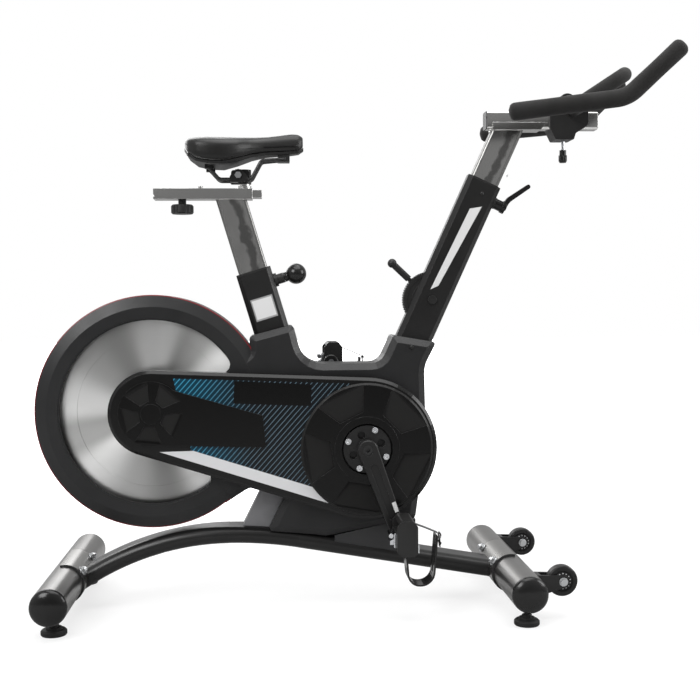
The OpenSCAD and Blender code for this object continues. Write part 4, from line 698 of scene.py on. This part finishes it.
def saddle():
    """Sewn vinyl cover over foam: crowned, with a relief channel, panel seams and a rolled lower edge."""
    # share of the way from the tail, then half width, lower edge, side seam and crown in millimetres
    stations = [(0, 36, -27, -15, -6), (0.03, 58, -38, -17, -1), (0.1, 73.5, -50, -20, 1),
                (0.2, 79, -55, -23, 2), (0.32, 77.4, -56, -26, 2), (0.44, 64.8, -49, -26, 2),
                (0.56, 43.4, -40, -24, 3), (0.68, 28.9, -34.5, -22, 5), (0.8, 23.2, -32.5, -20, 8),
                (0.9, 21.3, -31, -19, 10), (0.96, 19, -29, -18, 9), (1, 11.6, -23, -15, 4)]
    at = [s[0] for s in stations]
    # x of the tail, length and height of the cushion in metres, and how far the cover's ends keep inside
    tail, length, base, inside = -0.334191, 0.238, 0.950, 0.0006
    channel_w, channel_depth = 0.011, 0.0028
    seam_at, seam_w, seam_depth = 0.80, 0.018, 0.0011
    count, around = 96, 72
    rings = []

    def under(b):
        """Side and underside of the cover: share of the half width, height over the lower edge."""
        mirror = b > 0.5
        b = min(b, 1 - b)
        knots = [(0.0, 1.0, None), (0.12, 0.992, 0.0165), (0.17, 0.975, 0.0105), (0.21, 0.94, 0.0074),
                 (0.26, 0.88, 0.0064), (0.5, 0.0, 0.0064)]
        for p, q in zip(knots, knots[1:]):
            if b <= q[0]:
                t = (b - p[0]) / (q[0] - p[0])
                if p[2] is None:
                    above = None if t == 0 else seam - low + (q[2] - seam + low) * t
                else:
                    above = p[2] + (q[2] - p[2]) * t
                return (1 if mirror else -1) * (p[1] + (q[1] - p[1]) * t), above
        return 0.0, 0.0064

    for k in range(count + 1):
        share = k / count
        i = max(j for j in range(len(at) - 1) if at[j] <= share + 1e-9)
        t = i + (share - at[i]) / (at[i + 1] - at[i])
        _, w, low, seam, crown = curve_through(stations, t)
        w, low, seam, crown = w / 1000 * 0.992, low / 1000, seam / 1000, crown / 1000
        x = tail + inside + share * (length - 2 * inside)
        ring = []
        for q in range(around):
            a = 2 * math.pi * q / around
            if a <= math.pi:
                y = w * math.cos(a) * (1 - 0.06 * math.sin(a))
                lift = math.sin(a) ** 0.62 if 0 < a < math.pi else 0.0
                z = seam + (crown - seam) * lift
                run = max(0.0, math.sin(math.pi * min(1, share / 0.9)))
                channel = math.exp(-((y / channel_w) ** 2)) * run * channel_depth
                stitched = math.exp(-(((abs(y) / w - seam_at) / seam_w) ** 2)) * seam_depth
                z -= channel + stitched
            else:
                share_y, above = under((a - math.pi) / math.pi)
                y = share_y * w
                z = low + above if above is not None else seam
            ring.append(Vector((x, y, base + z)))
        rings.append(ring)
    points, faces = skin(rings)
    obj = new_piece("saddle_cover", points, faces, VINYL, "saddle", "cover_black")
    smooth = obj.modifiers.new("smooth", "SMOOTH")
    smooth.factor, smooth.iterations = 0.4, 3
    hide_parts("saddle_cushion")


def place(points, side):
    """From a pedal's own frame, in millimetres, to the row frame."""
    x, z = (0.0828535, 0.1615539) if side == "left" else (-0.0368535, 0.4904461)
    s = -1 if side == "left" else 1
    return [Vector((x + p[0] / 1000, s * p[1] / 1000, z + p[2] / 1000)) for p in points]


def toe_straps():
    """Woven strap from the pedal to the clip's tip, with its buckle, in a pedal's own millimetres."""
    middle_y = 164
    course = ((26.6, 27.6), (46, 20.2), (70.5, 9.5), (73.2, -2), (73.6, -17.5))
    # rounded cross-section of the strap: across its width, then its thickness
    section = ((-8.6, 0), (-8.2, 0.75), (0, 0.9), (8.2, 0.75),
               (8.6, 0), (8.2, -0.75), (0, -0.9), (-8.2, -0.75))
    buckle_x, wire_r = 73.8, 1.7
    buckle_corners = ((-11.2, 8.5), (11.2, 8.5), (11.2, -11), (-11.2, -11))
    for side in ("left", "right"):
        line = [Vector((x, middle_y, z)) for x, z in course]
        path = resample(rounded_path(line, 7, 6), 1.5)
        rings = []
        for i, p in enumerate(path):
            d = (path[min(i + 1, len(path) - 1)] - path[max(i - 1, 0)]).normalized()
            n = Vector((-d.z, 0, d.x))
            ring = [p + Vector((0, y, 0)) + n * t for y, t in section]
            rings.append(place(ring, side))
        strap = new_piece("strap_" + side, *skin(rings), WEBBING, "pedal_" + side, "dark_rubber")
        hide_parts("toe_strap_" + side)
        corners = [Vector((buckle_x, middle_y + y, z)) for y, z in buckle_corners]
        start = corners[0].lerp(corners[1], 0.5)
        loop = rounded_path([start, *corners[1:], corners[0], start], 3, 6)
        tube = sweep(resample(loop, 1.2), lambda *_: wire_r, 12)
        frame_rings = [place(r, side) for r in tube]
        buckle = new_piece("buckle_" + side, *skin(frame_rings), GLOSS, "pedal_" + side, "matte_black")
        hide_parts("toe_strap_" + side)


def screw(name, at, axis, r, body, mat):
    """Dome-headed screw with a hexagonal socket, standing on a face at a point."""
    # outline from the foot over the dome into the socket, as shares of the head's radius: radius, height
    outline = ((1.0, -0.1), (1.0, 0.12), (0.93, 0.34), (0.76, 0.50),
               (0.56, 0.56), (0.50, 0.50), (0.47, 0.12))
    socket, sixth = 0.52, math.pi / 3
    axis = Vector(axis).normalized()
    side = axis.orthogonal().normalized()
    top = axis.cross(side)
    rings = []
    for share, height in outline:
        ring = []
        for k in range(24):
            a = 2 * math.pi * k / 24
            hexed = math.cos(sixth / 2) / math.cos(a % sixth - sixth / 2) if share < socket else 1.0
            out = math.cos(a) * side + math.sin(a) * top
            ring.append(Vector(at) + axis * (height * r) + r * share * hexed * out)
        rings.append(ring)
    new_piece(name, *skin(rings), mat, body, "screw_steel", smooth=False)


grips()
saddle()
toe_straps()
screw("tube_screw", (0.2684, -0.0211, 0.8386), (0, -1, 0), 0.0034, "frame", DARK_STEEL)
screw("bar_post_screw", Vector((0.3244, 0, 0.8773)), bar_front, 0.0032, "bar_post", STEEL)


# ---- stage, light and camera ----
def floor():
    """Pale floor that the camera sees as white, with the object's shadow kept near it."""
    g = Graph("floor_white", (0.40, 0.40, 0.40), 0.9)
    near, far = 0.75, 1.5  # metres from the middle between which the shadow fades out
    glow = g.tree.nodes.new("ShaderNodeEmission")
    glow.inputs[0].default_value = (1, 1, 1, 1)
    glow.inputs[1].default_value = 2.3
    mixed = g.tree.nodes.new("ShaderNodeMixShader")
    path = g.tree.nodes.new("ShaderNodeLightPath")
    x, y, _ = g.xyz()
    away = g.math("SQRT", g.math("ADD", g.math("MULTIPLY", x, x), g.math("MULTIPLY", y, y)))
    share = g.blend(g.step(away, near, far, True), 0.30, 1.0)
    g.put(mixed.inputs[0], g.math("MULTIPLY", path.outputs["Is Camera Ray"], share))
    g.put(mixed.inputs[1], g.shader.outputs[0])
    g.put(mixed.inputs[2], glow.outputs[0])
    g.put(g.tree.nodes["Material Output"].inputs[0], mixed.outputs[0])
    s, z = 14.0, -0.0005
    mesh = bpy.data.meshes.new("floor")
    mesh.from_pydata([(-s, -s, z), (s, -s, z), (s, s, z), (-s, s, z)], [], [(0, 1, 2, 3)])
    mesh.materials.append(g.mat)
    obj = bpy.data.objects.new("floor", mesh)
    bpy.context.scene.collection.objects.link(obj)


def studio():
    """White to the camera; to every other ray a dim room, brighter above, at both ends and behind."""
    world = bpy.data.worlds.new("studio")
    bpy.context.scene.world = world
    world.use_nodes = True
    tree = world.node_tree
    sky = tree.nodes["Background"]

    def work(kind, a, b=0.0):
        return math_node(tree, kind, a, b)

    split = tree.nodes.new("ShaderNodeSeparateXYZ")
    put(tree, split.inputs[0], tree.nodes.new("ShaderNodeTexCoord").outputs["Generated"])
    x, y, z = split.outputs
    ends = work("MULTIPLY", work("POWER", work("ABSOLUTE", x), 2.0), 0.45)
    above = work("MULTIPLY", work("MAXIMUM", z, 0.0), 0.5)
    behind = work("MULTIPLY", work("MAXIMUM", y, 0.0), 0.3)
    room = work("ADD", work("ADD", work("ADD", ends, above), behind), 0.10)
    seen = tree.nodes.new("ShaderNodeLightPath").outputs["Is Camera Ray"]
    strength = work("ADD", seen, work("MULTIPLY", work("SUBTRACT", 1.0, seen), room))
    put(tree, sky.inputs[1], strength)
    sky.inputs[0].default_value = (1, 1, 1, 1)


def soft_light(name, place, target, size, power):
    """Square soft box, size metres wide, that faces a target."""
    data = bpy.data.lights.new(name, "AREA")
    data.shape = "RECTANGLE"
    data.size, data.size_y = size, size
    data.energy = power
    obj = bpy.data.objects.new(name, data)
    bpy.context.scene.collection.objects.link(obj)
    obj.location = place
    obj.rotation_mode = "QUATERNION"
    obj.rotation_quaternion = (Vector(target) - Vector(place)).to_track_quat("-Z", "Y")


def camera():
    """Camera on the belt guard's side, tipped slightly down and turned a little to the front."""
    data = bpy.data.cameras.new("camera")
    data.sensor_width = 36.0
    data.lens = 57.2502857
    data.clip_start, data.clip_end = 0.05, 100
    obj = bpy.data.objects.new("camera", data)
    bpy.context.scene.collection.objects.link(obj)
    yaw, pitch, roll = (math.radians(v) for v in (4.238, 2.725, -0.397))
    ahead = Vector((math.sin(yaw) * math.cos(pitch), math.cos(yaw) * math.cos(pitch), -math.sin(pitch)))
    right = Vector((math.cos(yaw), -math.sin(yaw), 0))
    up = right.cross(ahead)
    across = right * math.cos(roll) + up * math.sin(roll)
    above = up * math.cos(roll) - right * math.sin(roll)
    turn = Matrix((across, above, -ahead)).transposed()
    obj.matrix_world = Matrix.Translation((-0.1728, -2.2869, 0.6289)) @ turn.to_4x4()
    bpy.context.scene.camera = obj


floor()
studio()
soft_light("key", (-2.2, -2.6, 2.6), (-0.1, 0, 0.5), 1.8, 90)
soft_light("top", (0.2, -0.4, 3.2), (0, 0, 0.4), 2.6, 70)
soft_light("rim", (2.6, -0.6, 1.5), (0.1, 0, 0.5), 1.4, 35)
soft_light("back", (-1.2, 2.6, 2.0), (0, 0, 0.5), 2.0, 40)
camera()
bpy.context.scene.view_settings.view_transform = "Standard"
